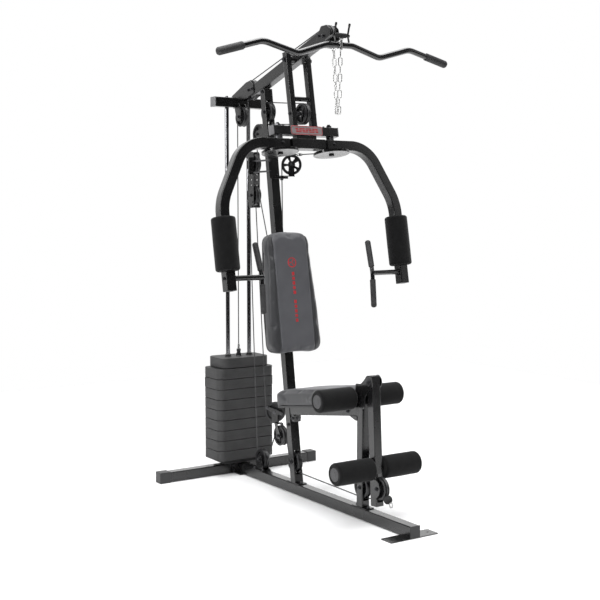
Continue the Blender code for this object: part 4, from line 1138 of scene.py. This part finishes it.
def build_press():
    leg_width, leg_depth, leg_x = 0.0255, 0.030, 0.04975
    shapes = []
    for side in (-1, 1):
        top, end = down_press(-0.028), down_press(0.298)
        shapes.append(beam(top.yz, end.yz, leg_width, leg_depth, side * leg_x, 0.0035))
    bar_at = down_press(PRESS_BAR_DROP)
    shapes.append(bar_box((0.325, TUBE, TUBE), bar_at, PRESS_TURN))
    shapes.append(rod(0.010, 0.090, down_press(0.168)))
    shapes.append(bar_box((0.100, 0.030, 0.060), down_press(0.3480), PRESS_TURN, 0.003))
    shapes.append(bar_box((0.168, 0.0475, 0.042), down_press(ARM_DROP - 0.0015, 0.0, 0.0070),
                          PRESS_TURN, 0.003))
    piece("press_tubes", "press_arm", BLACK, shapes, ["press_frame"])
    caps = [box((0.0045, TUBE + 0.001, TUBE + 0.001), down_press(PRESS_BAR_DROP, side * 0.1632),
                PRESS_TURN, 0.0016) for side in (-1, 1)]
    piece("press_bar_caps", "press_arm", LIGHT_CAP, caps)
    caps = [box((leg_width, leg_depth, 0.004), down_press(-0.0285, side * leg_x), PRESS_TURN,
                0.0014) for side in (-1, 1)]
    piece("press_leg_caps", "press_arm", CAP, caps)

    screws = []
    for side in (-1, 1):
        x = side * FLY_X
        screws.append(rod(0.0095, 0.119, down_press(0.3465, x), PRESS_UP))
        screws.append(rod(0.0165, 0.0185, down_press(0.3354, x), PRESS_UP))
        screws.append(hexagon(0.0125, 0.0085, down_press(0.2836, x), PRESS_UP))
        screws.append(rod(0.0165, 0.0020, down_press(0.2885, x), PRESS_UP))
        screws.append(rod(0.0070, 0.0120, down_press(0.2790, x), PRESS_UP))
        screws.append(hexagon(0.0130, 0.0050, down_press(0.4068, x), PRESS_UP))
        for offset in (-0.016, 0.016):
            screws += bolt_head(down_press(0.2876, side * 0.086 + offset), PRESS_UP, 0.0005, 0.0052)
        screws += bolt_head(down_press(0.2317, side * leg_x), (side, 0, 0), 0.0132, 0.0066)
        screws.append(rod(0.0085, 0.0230, (side * 0.0240, *YZ["press"]), edge=0.001))
    screws.append(rod(0.0055, 0.090, (0, *YZ["press"])))
    piece("press_bolts", "press_arm", DARK_STEEL, screws)

    face = down_press(PRESS_BAR_DROP, forward=TUBE / 2 + 0.0014)
    place = Matrix.Translation(face) @ Matrix.Rotation(math.radians(90 - PRESS_LEAN), 4, "X")
    half_x, half_y, corner, border = 0.080, 0.0195, 0.0095, 0.0022
    plate = slab(rounded_rectangle(half_x, half_y, corner), 0.0026, place)
    piece("badge_silver", "press_arm", SILVER, [plate], ["badge_plate"])
    rim, opening = [rounded_rectangle(half_x - inset, half_y - inset, corner - inset)
                    for inset in (0.0012, 0.0012 + border)]
    trim = slab(rim, 0.0032, place, 0.0003, [opening])
    piece("badge_trim", "press_arm", RED, [trim])
    stripe = softened([(-0.0066, -0.0018), (0.0066, -0.0018), (0.0066, 0.0018),
                       (-0.0066, 0.0018)], 0.001, 2)
    bars = []
    for i in range(7):
        x = (i - 3) * 0.0165
        lean = math.radians(12 if i % 2 else -12)
        for dy in (-0.0065, 0.0, 0.0065):
            spot = place @ Matrix.Translation((x + dy * math.tan(lean), dy, 0.0014))
            bars.append(slab(stripe, 0.0012, spot, 0.0002))
    piece("badge_bars", "press_arm", RED, bars)


def build_arm(side, hand):
    body = "fly_arm_" + hand
    line = [(0.0855, ARM_DROP, 0), (0.308, ARM_DROP, 0), (ARM_X, 0.611, 0),
            (ARM_X, ARM_END_DROP, 0)]
    flat = filleted(line, (0.14, 0.20), 14)
    path = [down_press(p.y, side * p.x, ARM_FORWARD) for p in flat]
    half, corner = ARM_TUBE / 2, 0.004
    tube = sweep(path, rounded_rectangle(half, half, corner, 5), PRESS_FRONT)
    inner_end = box((0.060, 0.080, 0.060), down_press(ARM_DROP, side * (FLY_X - 0.030)),
                    PRESS_TURN, edge=0)
    round_off = rod(ARM_INNER_R, 0.090, down_press(ARM_DROP, side * FLY_X), PRESS_UP, 96)
    tube = cut(tube, cut(inner_end, round_off))
    piece("fly_arm_tube_" + hand, body, BLACK, [tube], ["butterfly_arm_" + hand])
    middle = down_press(sum(CAM_DROP) / 2, side * FLY_X)
    wide, cam_half, groove = 0.078, (CAM_DROP[1] - CAM_DROP[0]) / 2, 0.0030
    cam = lathe([(0.0104, cam_half), (wide - 0.002, cam_half), (wide, cam_half - 0.001),
                 (wide, 0.0022), (wide - groove, 0.0008), (wide - groove, -0.0008),
                 (wide, -0.0022), (wide, 0.001 - cam_half), (wide - 0.001, -cam_half),
                 (0.0104, -cam_half)], middle, PRESS_UP, 96, closed=True)
    hub = lathe([(0.0104, 0.004), (0.022, 0.004), (0.022, -0.006), (0.0104, -0.006)],
                down_press(CAM_DROP[0] - 0.001, side * FLY_X), PRESS_UP, 48, closed=True)
    piece("fly_cam_" + hand, body, BLACK, [cam, hub])

    cap = box((ARM_TUBE - 0.0015, ARM_TUBE - 0.0015, 0.0040),
              down_press(ARM_END_DROP + 0.0010, side * ARM_X, ARM_FORWARD), PRESS_TURN, 0.0018)
    piece("arm_end_cap_" + hand, body, CAP, [cap])

    stub = rod(0.0110, 0.146, down_press(HANDLE_DROP, side * 0.350, ARM_FORWARD), steps=32)
    collar = rod(0.0140, 0.0060, down_press(HANDLE_DROP, side * 0.4125, ARM_FORWARD), steps=32)
    grip_x = side * 0.280
    low, bend, high = (Vector((grip_x, -0.6745, 0.818)), Vector((grip_x, -0.662, 0.966)),
                       Vector((grip_x + side * 0.0062, -0.618, 1.099)))
    core = wire(subdivided(filleted([low, bend, high], 0.040, 8), 0.01), 0.0095, 24)
    piece("handle_bar_" + hand, body, GLOSS, [stub, collar, core])
    grips = []
    for end, mouth_z in ((low, 0.935), (high, 0.990)):
        away = (end - bend).normalized()
        mouth = bend + away * ((mouth_z - bend.z) / away.z)
        grips.append(grip_sleeve(end + away * 0.004, mouth, GRIP_R))
    piece("handle_grips_" + hand, body, GRIP, grips, crease=50)

    length = FOAM_DROP[1] - FOAM_DROP[0]
    centre = down_press(sum(FOAM_DROP) / 2, side * ARM_X, ARM_FORWARD)
    sleeve = lathe(foam_tube(ARM_FOAM_R, length / 2, 0.0200), centre, PRESS_UP, 56, closed=True)
    obj = piece("arm_foam_sleeve_" + hand, body, FOAM, [sleeve], ["arm_foam_" + hand], crease=50)
    screws = bolt_head(down_press(HANDLE_DROP, side * ARM_X, ARM_FORWARD), (side, 0, 0),
                  ARM_TUBE / 2 + 0.001, 0.0060)
    screws += bolt_head(down_press(ARM_DROP - 0.004, side * FLY_X, ARM_FORWARD + ARM_TUBE / 2),
                   PRESS_FRONT, 0.0008, 0.0052)
    piece("arm_bolts_" + hand, body, DARK_STEEL, screws)


def grip_sleeve(tip, mouth, radius):
    """A rubber grip from a rounded tip to its mouth, with shallow rings near each end."""
    tip, mouth = Vector(tip), Vector(mouth)
    length = (mouth - tip).length
    profile = [(0, 0)]
    for step in range(1, 7):
        angle = math.radians(15 * step)
        profile.append((radius * math.sin(angle), 0.010 * (1 - math.cos(angle))))
    for at in (0.020, 0.025, length - 0.016, length - 0.011):
        profile += [(radius, at - 0.0012), (radius - 0.0007, at), (radius, at + 0.0012)]
    profile += [(radius, length - 0.0020), (radius - 0.001, length), (radius * 0.72, length)]
    return lathe(profile, tip, (mouth - tip).normalized(), 36)


# Lat bar and chain

def build_lat_bar():
    tilt = Matrix.Rotation(math.radians(-BAR_TILT), 4, "Y")
    place = Matrix.Translation(BAR_CENTRE) @ tilt
    half = [(0.065, 0.0), (0.201, -0.0415), (0.359, -0.0005), (0.560, -0.0532)]
    line = [(-x, 0, z) for x, z in reversed(half)] + [(x, 0, z) for x, z in half]
    path = subdivided(filleted(line, (0.09, 0.06, 0.09, 0.09, 0.06, 0.09), 12), 0.02)
    bar = wire(path, 0.0125, 32)
    bar.data.transform(place)
    piece("lat_bar_tube", "lat_bar", GLOSS, [bar], ["lat_bar"], crease=60)
    grips = []
    for side in (-1, 1):
        tip = Vector((side * 0.563, 0, -0.0540))
        inner = Vector((side * 0.359, 0, -0.0005))
        ahead = (inner - tip).normalized()
        grips.append(grip_sleeve(tip, tip + ahead * 0.118, 0.0158))
    for grip in grips:
        grip.data.transform(place)
    piece("lat_bar_grips", "lat_bar", GRIP, grips, crease=50)

    saddle = [lathe([(0.0127, 0.006), (0.0150, 0.006), (0.0150, -0.006), (0.0127, -0.006)],
                    BAR_CENTRE, (1, 0, 0), 36, closed=True),
              box((0.012, 0.0040, 0.052), (0, -0.8140, 1.897), edge=0.0012),
              rod(0.0045, 0.016, (0, -0.8150, 1.915), edge=0.001)]
    piece("lat_bar_clamp", "lat_bar", ZINC, saddle)
    eye = eye_ring((0, -0.763, 1.879), 0.0085, 0.0024, 24)
    piece("lat_cable_eye", "lat_bar", ZINC, [eye, ferrule((0, -0.763, 1.896))])

    loop = [(0, -0.763, 1.874), (0, -0.775, 1.750), (0, -0.787, 1.622), (0, -0.799, 1.622),
            (0, -0.806, 1.750), (0, -0.810, 1.874)]
    line = filleted(loop, (0.30, 0.0059, 0.0059, 0.30), 6)
    piece("chain_links", "lat_bar", ZINC, chain(line), ["lat_chain"], crease=60)


def link(length, width, thick):
    """One chain link: an oval of round wire in local XZ."""
    half, turn = length / 2 - width / 2, width / 2 - thick
    points = []
    for start, side in ((0, 1), (180, -1)):
        for step in range(9):
            angle = math.radians(start + 22.5 * step)
            points.append(Vector((turn * math.cos(angle), 0,
                                  side * half + turn * math.sin(angle))))
    points.append(points[0].copy())
    return wire(points, thick, 8)


def chain(line):
    """Links a pitch apart along a line, each turned a quarter from the last."""
    length, width, thick = 0.0380, 0.0185, 0.0022
    pitch = length - 2 * thick - 0.0016
    shapes, carry, index = [], pitch / 2, 0
    for a, b in zip(line, line[1:]):
        a, b = Vector(a), Vector(b)
        span = (b - a).length
        while carry <= span:
            here = a.lerp(b, carry / span)
            shape = link(length, width, thick)
            spin = Matrix.Rotation(math.radians(90 * (index % 2) - 34), 4, "Z")
            shape.data.transform(Matrix.Translation(here) @ aimed(b - a) @ spin)
            shapes.append(shape)
            carry += pitch
            index += 1
        carry -= span
    return shapes


# Pulley blocks and the swivel

def build_blocks():
    outline = softened([(-0.160, 1.243), (-0.168, 1.251), (-0.168, 1.487), (-0.158, 1.496),
                        (-0.092, 1.496), (-0.085, 1.489), (-0.086, 1.478), (-0.122, 1.460),
                        (-0.122, 1.257), (-0.129, 1.243)], 0.006)
    holes = [circle(0.0042, (-0.145, z)) for z in (1.345, 1.370, 1.395)]
    holes += [circle(0.0040, (-0.160, 1.270))]
    plates = [side_plate(outline, side * (CHEEK + 0.0015), 0.003, holes) for side in (-1, 1)]
    spacers = ((-0.0925, 1.4870), (-0.1600, 1.2490))
    plates += [rod(0.0050, 2 * CHEEK, (0, *spacer_at)) for spacer_at in spacers]
    piece("upper_block_plates", "upper_block", BLACK, plates, ["upper_block"])
    screws = []
    for wheel_at in (YZ["block_top"], YZ["block_bottom"]):
        screws += bolt(wheel_at, reach=0.0172, size=0.0068)
    for spacer_at in spacers:
        screws += bolt(spacer_at, reach=0.0168, size=0.0045)
    piece("upper_block_bolts", "upper_block", DARK_STEEL, screws)

    y, z = YZ["low_block_bottom"]
    outline = softened([(y - 0.014, z - 0.014), (y + 0.014, z - 0.014), (y + 0.014, z + 0.010),
                        (y + 0.031, z + 0.054), (y + 0.009, z + 0.054), (y - 0.014, z + 0.010)],
                       0.006)
    lower = [side_plate(outline, side * (CHEEK + 0.0015), 0.003) for side in (-1, 1)]
    plug = box((0.030, 0.021, 0.004), (0, y + 0.020, z + 0.0512))
    turn = math.degrees(math.atan2(LOW_TOP_ALONG.y, LOW_TOP_ALONG.x)) - 90
    across = Vector((LOW_TOP_ALONG.y, -LOW_TOP_ALONG.x, 0))
    centre = CENTRE["low_block_top"]
    upper = [box((0.003, 0.028, 0.061), centre + across * side * (CHEEK + 0.0015)
                 + Vector((0, 0, -0.0165)), (0, 0, turn), 0.0010) for side in (-1, 1)]
    floor = box((0.0300, 0.028, 0.003), centre + Vector((0, 0, -0.0475)), (0, 0, turn))
    strap_ends = ((-0.034, 0.020), (0.030, -0.004))
    strap = strap_plate(centre, LOW_TOP_ALONG, -(CHEEK + 0.0048), *strap_ends, 0.0085)
    piece("low_block_plates", "frame", BLACK, [*lower, plug, floor, *upper, strap], ["low_block"])
    screws = bolt(YZ["low_block_bottom"], reach=0.0172, size=0.0068)
    screws += bolt(centre, across, reach=0.0172, size=0.0068)
    screws += bolt_head(centre + Vector((0, 0, -0.0460)), UP, 0.0006, 0.0060)
    for step, rise in strap_ends:
        spot = centre + LOW_TOP_ALONG * step + Vector((0, 0, rise))
        screws += bolt_head(spot, across, 0.0198, 0.0055)
    piece("low_block_bolts", "frame", DARK_STEEL, screws)


def strap_plate(centre, along, offset, start, end, half):
    """A flat strap beside a wheel, between two points (along, up) measured from its centre."""
    ahead = (Vector(end) - Vector(start)).normalized() * half
    side = Vector((-ahead.y, ahead.x))
    a, b = Vector(start) - ahead, Vector(end) + ahead
    outline = softened([a + side, a - side, b - side, b + side], half)
    across = Vector((-along.y, along.x, 0)).normalized()
    place = Matrix((along, (0, 0, 1), -across)).transposed().to_4x4()
    return slab(outline, 0.003, Matrix.Translation(centre + across * offset) @ place)


def build_swivel():
    z = SWIVEL_PIVOT.z
    face = upright_y(z - 0.01) - TUBE / 2
    plate = box((0.0515, 0.006, 0.104), (-0.00675, face - 0.0045, z - 0.010), (-LEAN, 0, 0), 0.002)
    lug_front = box((0.066, 0.009, 0.009), (0.023, -0.3335, z - 0.0575), edge=0.0015)
    lug_side = box((0.027, 0.042, 0.009), (0.0425, -0.3210, z - 0.0575), edge=0.0015)
    rear_bar = box((0.026, 0.012, 0.078), (-0.0320, -0.1720, z - 0.002), edge=0.0025)
    piece("swivel_clamp_plates", "frame", BLACK, [plate, lug_front, lug_side, rear_bar],
          ["swivel_clamp"])
    screws = []
    for height in (1.403, 1.4515):
        screws.append(rod(0.0042, 0.160, (-0.0275, -0.2430, height), (0, 1, 0)))
        for y in (-0.1640, -0.3240):
            screws.append(hexagon(0.0068, 0.0055, (-0.0275, y, height), (0, 1, 0)))
    for height in (z - 0.045, z + 0.028):
        screws += bolt_head((0.008, face - 0.0078, height), FORWARD, 0.0004, 0.0048)
    screws += bolt_head(SWIVEL_PIVOT - Vector((0, 0, 0.0620)), DOWN, 0.0002, 0.0070)
    piece("swivel_clamp_bolts", "frame", DARK_STEEL, screws)

    turn = math.degrees(math.atan2(SWIVEL_ALONG.y, SWIVEL_ALONG.x))
    across = Vector((-SWIVEL_ALONG.y, SWIVEL_ALONG.x, 0))
    centre = CENTRE["swivel"]
    foot = SWIVEL_PIVOT - Vector((0, 0, 0.0503))
    base = box((0.054, 0.033, 0.004), foot + SWIVEL_ALONG * 0.031, (0, 0, turn), 0.0010)
    boss = rod(0.0115, 0.0045, foot + Vector((0, 0, 0.0004)), UP)
    cheeks = [box((0.026, 0.003, 0.064), centre + across * side * (CHEEK + 0.0015)
                  + Vector((0, 0, -0.0200)), (0, 0, turn), 0.0010) for side in (-1, 1)]
    strap = strap_plate(centre, SWIVEL_ALONG, -(CHEEK + 0.0035), (-0.006, -0.010), (0.024, 0.029),
                        0.0065)
    piece("swivel_fork_plates", "swivel_fork", BLACK, [base, boss, *cheeks, strap],
          ["swivel_fork"])
    piece("swivel_fork_bolts", "swivel_fork", DARK_STEEL,
          bolt(centre, across, reach=0.0172, size=0.0068))


# Pulleys

def sector(inner, outer, start, end, corner, steps=6):
    """A window between two spokes: part of a ring, with soft corners."""
    points = []
    for radius, order in ((outer, range(steps + 1)), (inner, range(steps, -1, -1))):
        margin = corner / radius
        for i in order:
            angle = start + margin + (end - start - 2 * margin) * i / steps
            points.append((radius * math.cos(angle), radius * math.sin(angle)))
    return points


def wheel(place, open_web, windows=5):
    """A nylon pulley: grooved rim, thin web with windows, and a hub."""
    half, groove = 0.0110, GROOVE_R - CABLE_R - 0.0004
    rim = lathe([(0.0352, half - 0.0012), (0.0362, half), (PULLEY_R - 0.0010, half),
                 (PULLEY_R, half - 0.0012), (groove + 0.0012, 0.0034), (groove, 0.0016),
                 (groove, -0.0016), (groove + 0.0012, -0.0034), (PULLEY_R, 0.0012 - half),
                 (PULLEY_R - 0.0010, -half), (0.0362, -half), (0.0352, 0.0012 - half)],
                (0, 0, 0), steps=72, closed=True)
    gap = math.radians(9)
    openings = []
    for i in range(windows):
        start = 2 * math.pi * i / windows
        openings.append(sector(0.0165, 0.0330, start + gap, start + 2 * math.pi / windows - gap,
                               0.0016))
    web = slab(circle(0.0356, steps=48), 0.0055, Matrix.Identity(4), 0.0006,
               openings if open_web else ())
    hub = lathe([(0.0060, half), (0.0128, half), (0.0140, half - 0.0012), (0.0146, 0.0020),
                 (0.0146, -0.0020), (0.0140, 0.0012 - half), (0.0128, -half), (0.0060, -half)],
                (0, 0, 0), steps=40, closed=True)
    ribs = []
    for i in range(windows):
        angle = 2 * math.pi * i / windows
        rib = box((0.0215, 0.0024, 0.0130), (0.0245, 0, 0), edge=0.0008)
        rib.data.transform(Matrix.Rotation(angle, 4, "Z"))
        ribs.append(rib)
    bearing = lathe([(0.0058, half + 0.0004), (0.0108, half + 0.0004), (0.0108, half - 0.002),
                     (0.0058, half - 0.002)], (0, 0, 0), steps=32, closed=True)
    other = linked("shape", bearing.data.copy())
    other.data.transform(Matrix.Rotation(math.pi, 4, "X"))
    for shape in (rim, web, hub, *ribs, bearing, other):
        shape.data.transform(place)
    return [rim, web, hub, *ribs], [bearing, other]


def build_pulleys():
    for name in PULLEYS:
        axis = Vector(JOINT[name + "_spin"]["axis"]).normalized()
        place = Matrix.Translation(CENTRE[name]) @ aimed(axis)
        plastic, steel = wheel(place, name == "swivel")
        body = name + "_pulley"
        piece(name + "_wheel", body, NYLON, plastic, [body])
        piece(name + "_bearing", body, ZINC, steel)


# Cables, each drawn as the strands and turns between its pulleys

def belt(route, last=80):
    """The taut spans between the stops of a route, and its turns round the wheels.

    A stop is a point (y, z) or a wheel (y, z, turn), with turn +1 or -1. A route that stops at
    a wheel runs on round it by last degrees.
    """
    stops = [(Vector(item[:2]), GROOVE_R, item[2]) if len(item) == 3
             else (Vector(item), 0.0, 0) for item in route]
    arrive, leave = [None] * len(stops), [None] * len(stops)
    for i in range(len(stops) - 1):
        (c1, r1, s1), (c2, r2, s2) = stops[i], stops[i + 1]
        line = c2 - c1
        k = (s2 * r2 - s1 * r1) / line.length
        ahead = line.normalized()
        left = Vector((-ahead.y, ahead.x))
        normal = ahead * k + left * math.sqrt(1 - k * k)
        leave[i] = c1 - normal * (s1 * r1)
        arrive[i + 1] = c2 - normal * (s2 * r2)
    spans = [[Vector((0, *a)), Vector((0, *b))] for a, b in zip(leave, arrive[1:])]
    turns = []
    for (centre, r, turn), start, end in zip(stops, arrive, leave):
        if not turn:
            turns.append(None)
            continue
        a = math.atan2(*reversed((start - centre)[:]))
        b = math.atan2(*reversed((end - centre)[:])) if end else a + turn * math.radians(last)
        angle = (b - a) * turn % (2 * math.pi)
        count = max(3, math.ceil(math.degrees(angle) / 6))
        points = []
        for step in range(count + 1):
            here = a + turn * angle * step / count
            points.append(Vector((0, *(centre + r * Vector((math.cos(here), math.sin(here)))))))
        turns.append(points)
    return spans, turns


def strand(name, points, first, second=None, stands_for=()):
    """One length of cable, carried by one body; a length whose ends lie on two bodies is carried by
    none, its place baked into its mesh.
    """
    points = [Vector(p) for p in points]
    stretched = second not in (None, first)
    obj = piece(name, None if stretched else first, CABLE, [wire(subdivided(points), CABLE_R)],
                stands_for, crease=60)
    if stretched:
        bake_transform(obj)


def run_cable(name, route, bodies, node):
    spans, turns = belt(route)
    for i, span in enumerate(spans):
        strand("%s_span_%d" % (name, i + 1), span, bodies[i], bodies[i + 1],
               [node] if i == 0 else ())
    for i, points in enumerate(turns):
        if points:
            strand("%s_turn_%d" % (name, i + 1), points, bodies[i])


def wheel_arc(centre, along, start, end):
    """Points round a wheel whose plane holds Z and the level direction along."""
    count = max(3, math.ceil(abs(end - start) / 6))
    points = []
    for step in range(count + 1):
        angle = math.radians(start + (end - start) * step / count)
        points.append(centre + GROOVE_R * (along * math.cos(angle)
                                           + Vector((0, 0, math.sin(angle)))))
    return points


def build_cables():
    run_cable("lat_line", [(-0.763, 1.893), (*YZ["boom_front"], -1), (*YZ["boom_rear"], -1),
                           (*YZ["block_top"], -1), (*YZ["upright_rear"], 1), (*YZ["press"], -1),
                           (*YZ["upright_top"], -1)],
              ["lat_bar", "frame", "frame", "upper_block", "frame", "press_arm", "frame"],
              "lat_cable")
    run_cable("stack_line", [(0.0, 0.596), (*YZ["stack"], 1), (-0.0895, 1.4915)],
              ["stack_carriage", "frame", "upper_block"], "stack_cable")
    anchor = (upright_y(0.80) + TUBE / 2 + 0.003, 0.80)
    run_cable("low_line", [(-1.136, 0.106), (*YZ["lever"], 1), (*YZ["post"], 1),
                           (*YZ["upright_low"], 1), (*YZ["low_block_bottom"], -1),
                           (*YZ["base"], 1), (*YZ["block_bottom"], 1), anchor],
              ["leg_lever", "leg_lever", "frame", "frame", "frame", "frame", "upper_block",
               "frame"], "low_cable")
    low_top = wheel_arc(CENTRE["low_block_top"], LOW_TOP_ALONG, 182, 358)
    swivel = wheel_arc(CENTRE["swivel"], SWIVEL_ALONG, 180, 90)
    strand("fly_line_drop", [(0, -0.160, 1.2445), low_top[0]], "upper_block", "frame",
           ["fly_cable"])
    strand("fly_line_low_turn", low_top, "frame")
    strand("fly_line_rise", [low_top[-1], swivel[0]], "frame", "swivel_fork")
    strand("fly_line_top_turn", swivel, "swivel_fork")
    reach = BRIDLE - SWIVEL_ALONG * 0.0125
    clear = swivel[-1].lerp(reach, 0.5)
    strand("fly_line_pull", [swivel[-1], clear], "swivel_fork", "frame")
    strand("fly_line_end", [clear, reach], "frame", "press_arm")

    turn = math.degrees(math.atan2(SWIVEL_ALONG.y, SWIVEL_ALONG.x))
    yoke = box((0.022, 0.014, 0.012), BRIDLE, (0, 0, turn), 0.0020)
    piece("fly_bridle_yoke", "press_arm", DARK_STEEL, [yoke], ["fly_bridle"])
    for side, hand in HANDS:
        end = down_press(0.3955, side * FLY_X) + Vector((-0.029 * side, 0.0775, 0.0))
        strand("fly_bridle_line_" + hand, [BRIDLE, end], "press_arm", "fly_arm_" + hand)
        ahead = (end - BRIDLE).normalized()
        crimp = ferrule(BRIDLE + ahead * 0.020, ahead, 0.010, 0.004, 0.009, 0.0044, 20)
        piece("fly_bridle_ferrule_" + hand, "press_arm", ZINC, [crimp])

    ball = lathe([(0.0175 * math.sin(math.radians(a)), 0.0175 * math.cos(math.radians(a)))
                  for a in range(0, 181, 12)], (0, -1.133, 0.112), (0, 0.8, 0.6), 36)
    piece("cable_ball_stop", "leg_lever", RUBBER, [ball])
    eye = eye_ring((0, -1.1525, 0.0960), 0.0098, 0.0028, 28)
    shank = rod(0.0032, 0.012, (0, -1.1445, 0.1030), (0, 0.8, 0.6))
    piece("low_cable_eye", "leg_lever", ZINC, [eye, shank])
    end = ferrule((0, anchor[0] + 0.004, anchor[1] + 0.006), (0, 0.4, 1), foot=0.010,
                  radius=0.0050, steps=20)
    clip = box((0.020, 0.004, 0.034), (0, anchor[0] - 0.001, anchor[1]), (-LEAN, 0, 0), 0.0015)
    piece("low_cable_anchor", "frame", ZINC, [end])
    piece("low_cable_anchor_plate", "frame", BLACK, [clip])


# Studio

def build_studio():
    camera = bpy.data.cameras.new("camera")
    camera.lens = 65.955
    camera.sensor_width = 36.0
    camera.clip_end = 60.0
    obj = linked("camera", camera)
    right, up = Vector((0.83124, -0.55590, 0.0)), Vector((0.04540, 0.06788, 0.99664))
    back = right.cross(up)
    turn = Matrix((right, up, back)).transposed().to_4x4()
    obj.matrix_world = Matrix.Translation((-2.613, -3.831, 1.234)) @ turn
    bpy.context.scene.camera = obj

    floor = new_material("studio_floor", (0.93, 0.93, 0.935), 0.85)
    bm = bmesh.new()
    bmesh.ops.create_grid(bm, x_segments=1, y_segments=1, size=3.4)
    mesh = mesh_of(bm, "studio_floor")
    mesh.materials.append(floor)
    linked("studio_floor", mesh)

    build_world()
    bpy.context.scene.view_settings.view_transform = "Standard"
    lamp = bpy.data.lights.new("sky", "SUN")
    lamp.energy = SKY["strength"]
    lamp.angle = math.radians(SKY["angle"])
    light = linked("sky", lamp)
    light.rotation_euler = Vector(SKY["direction"]).to_track_quat("-Z", "Y").to_euler()
    for name, place, size, power in LIGHTS:
        lamp = bpy.data.lights.new(name, "AREA")
        lamp.shape = "RECTANGLE"
        lamp.size, lamp.size_y = size
        lamp.energy = power
        light = linked(name, lamp)
        light.location = place
        aim = Vector((0, 0, 1.0)) - Vector(place)
        light.rotation_euler = aim.to_track_quat("-Z", "Y").to_euler()


def build_world():
    """A white backdrop behind the gym, and a darker studio on the side it faces."""
    world = bpy.data.worlds.new("studio")
    world.use_nodes = True
    nodes, links = world.node_tree.nodes, world.node_tree.links
    seen = nodes["Background"]
    seen.inputs["Strength"].default_value = 1.0
    lit = nodes.new("ShaderNodeBackground")
    place = nodes.new("ShaderNodeTexCoord")
    towards = nodes.new("ShaderNodeVectorMath")
    towards.operation = "DOT_PRODUCT"
    towards.inputs[1].default_value = BACKDROP
    links.new(place.outputs["Generated"], towards.inputs[0])
    ramp = nodes.new("ShaderNodeMapRange")
    ramp.interpolation_type = "SMOOTHSTEP"
    for socket, value in zip(("From Min", "From Max", "To Min", "To Max"), BACKDROP_RANGE):
        ramp.inputs[socket].default_value = value
    links.new(towards.outputs["Value"], ramp.inputs["Value"])
    links.new(ramp.outputs["Result"], lit.inputs["Strength"])
    rays = nodes.new("ShaderNodeLightPath")
    mix = nodes.new("ShaderNodeMixShader")
    links.new(rays.outputs["Is Camera Ray"], mix.inputs["Fac"])
    links.new(lit.outputs["Background"], mix.inputs[1])
    links.new(seen.outputs["Background"], mix.inputs[2])
    links.new(mix.outputs["Shader"], nodes["World Output"].inputs["Surface"])
    for shader in (seen, lit):
        shader.inputs["Color"].default_value = (1.0, 1.0, 1.0, 1.0)
    bpy.context.scene.world = world


BACKDROP = (0.554, 0.828, 0.0)
BACKDROP_RANGE = (0.15, 0.60, 0.03, 1.25)
LIGHTS = (
    ("left_softbox", (-4.6, 0.2, 2.6), (1.2, 2.6), 110.0),
    ("right_softbox", (4.45, -4.05, 3.2), (1.25, 3.2), 12.0),
    ("top_softbox", (0.2, 0.2, 4.8), (3.0, 3.0), 110.0),
)
SKY = {"direction": (0.25, 0.55, -1.0), "strength": 2.7, "angle": 55.0}

build_studio()
build_base()
build_upright()
build_seat_frame()
build_boom()
build_guides()
build_stack()
build_pads()
build_rollers()
build_lever()
build_press()
for side_sign, hand_name in HANDS:
    build_arm(side_sign, hand_name)
build_lat_bar()
build_blocks()
build_swivel()
build_pulleys()
build_cables()
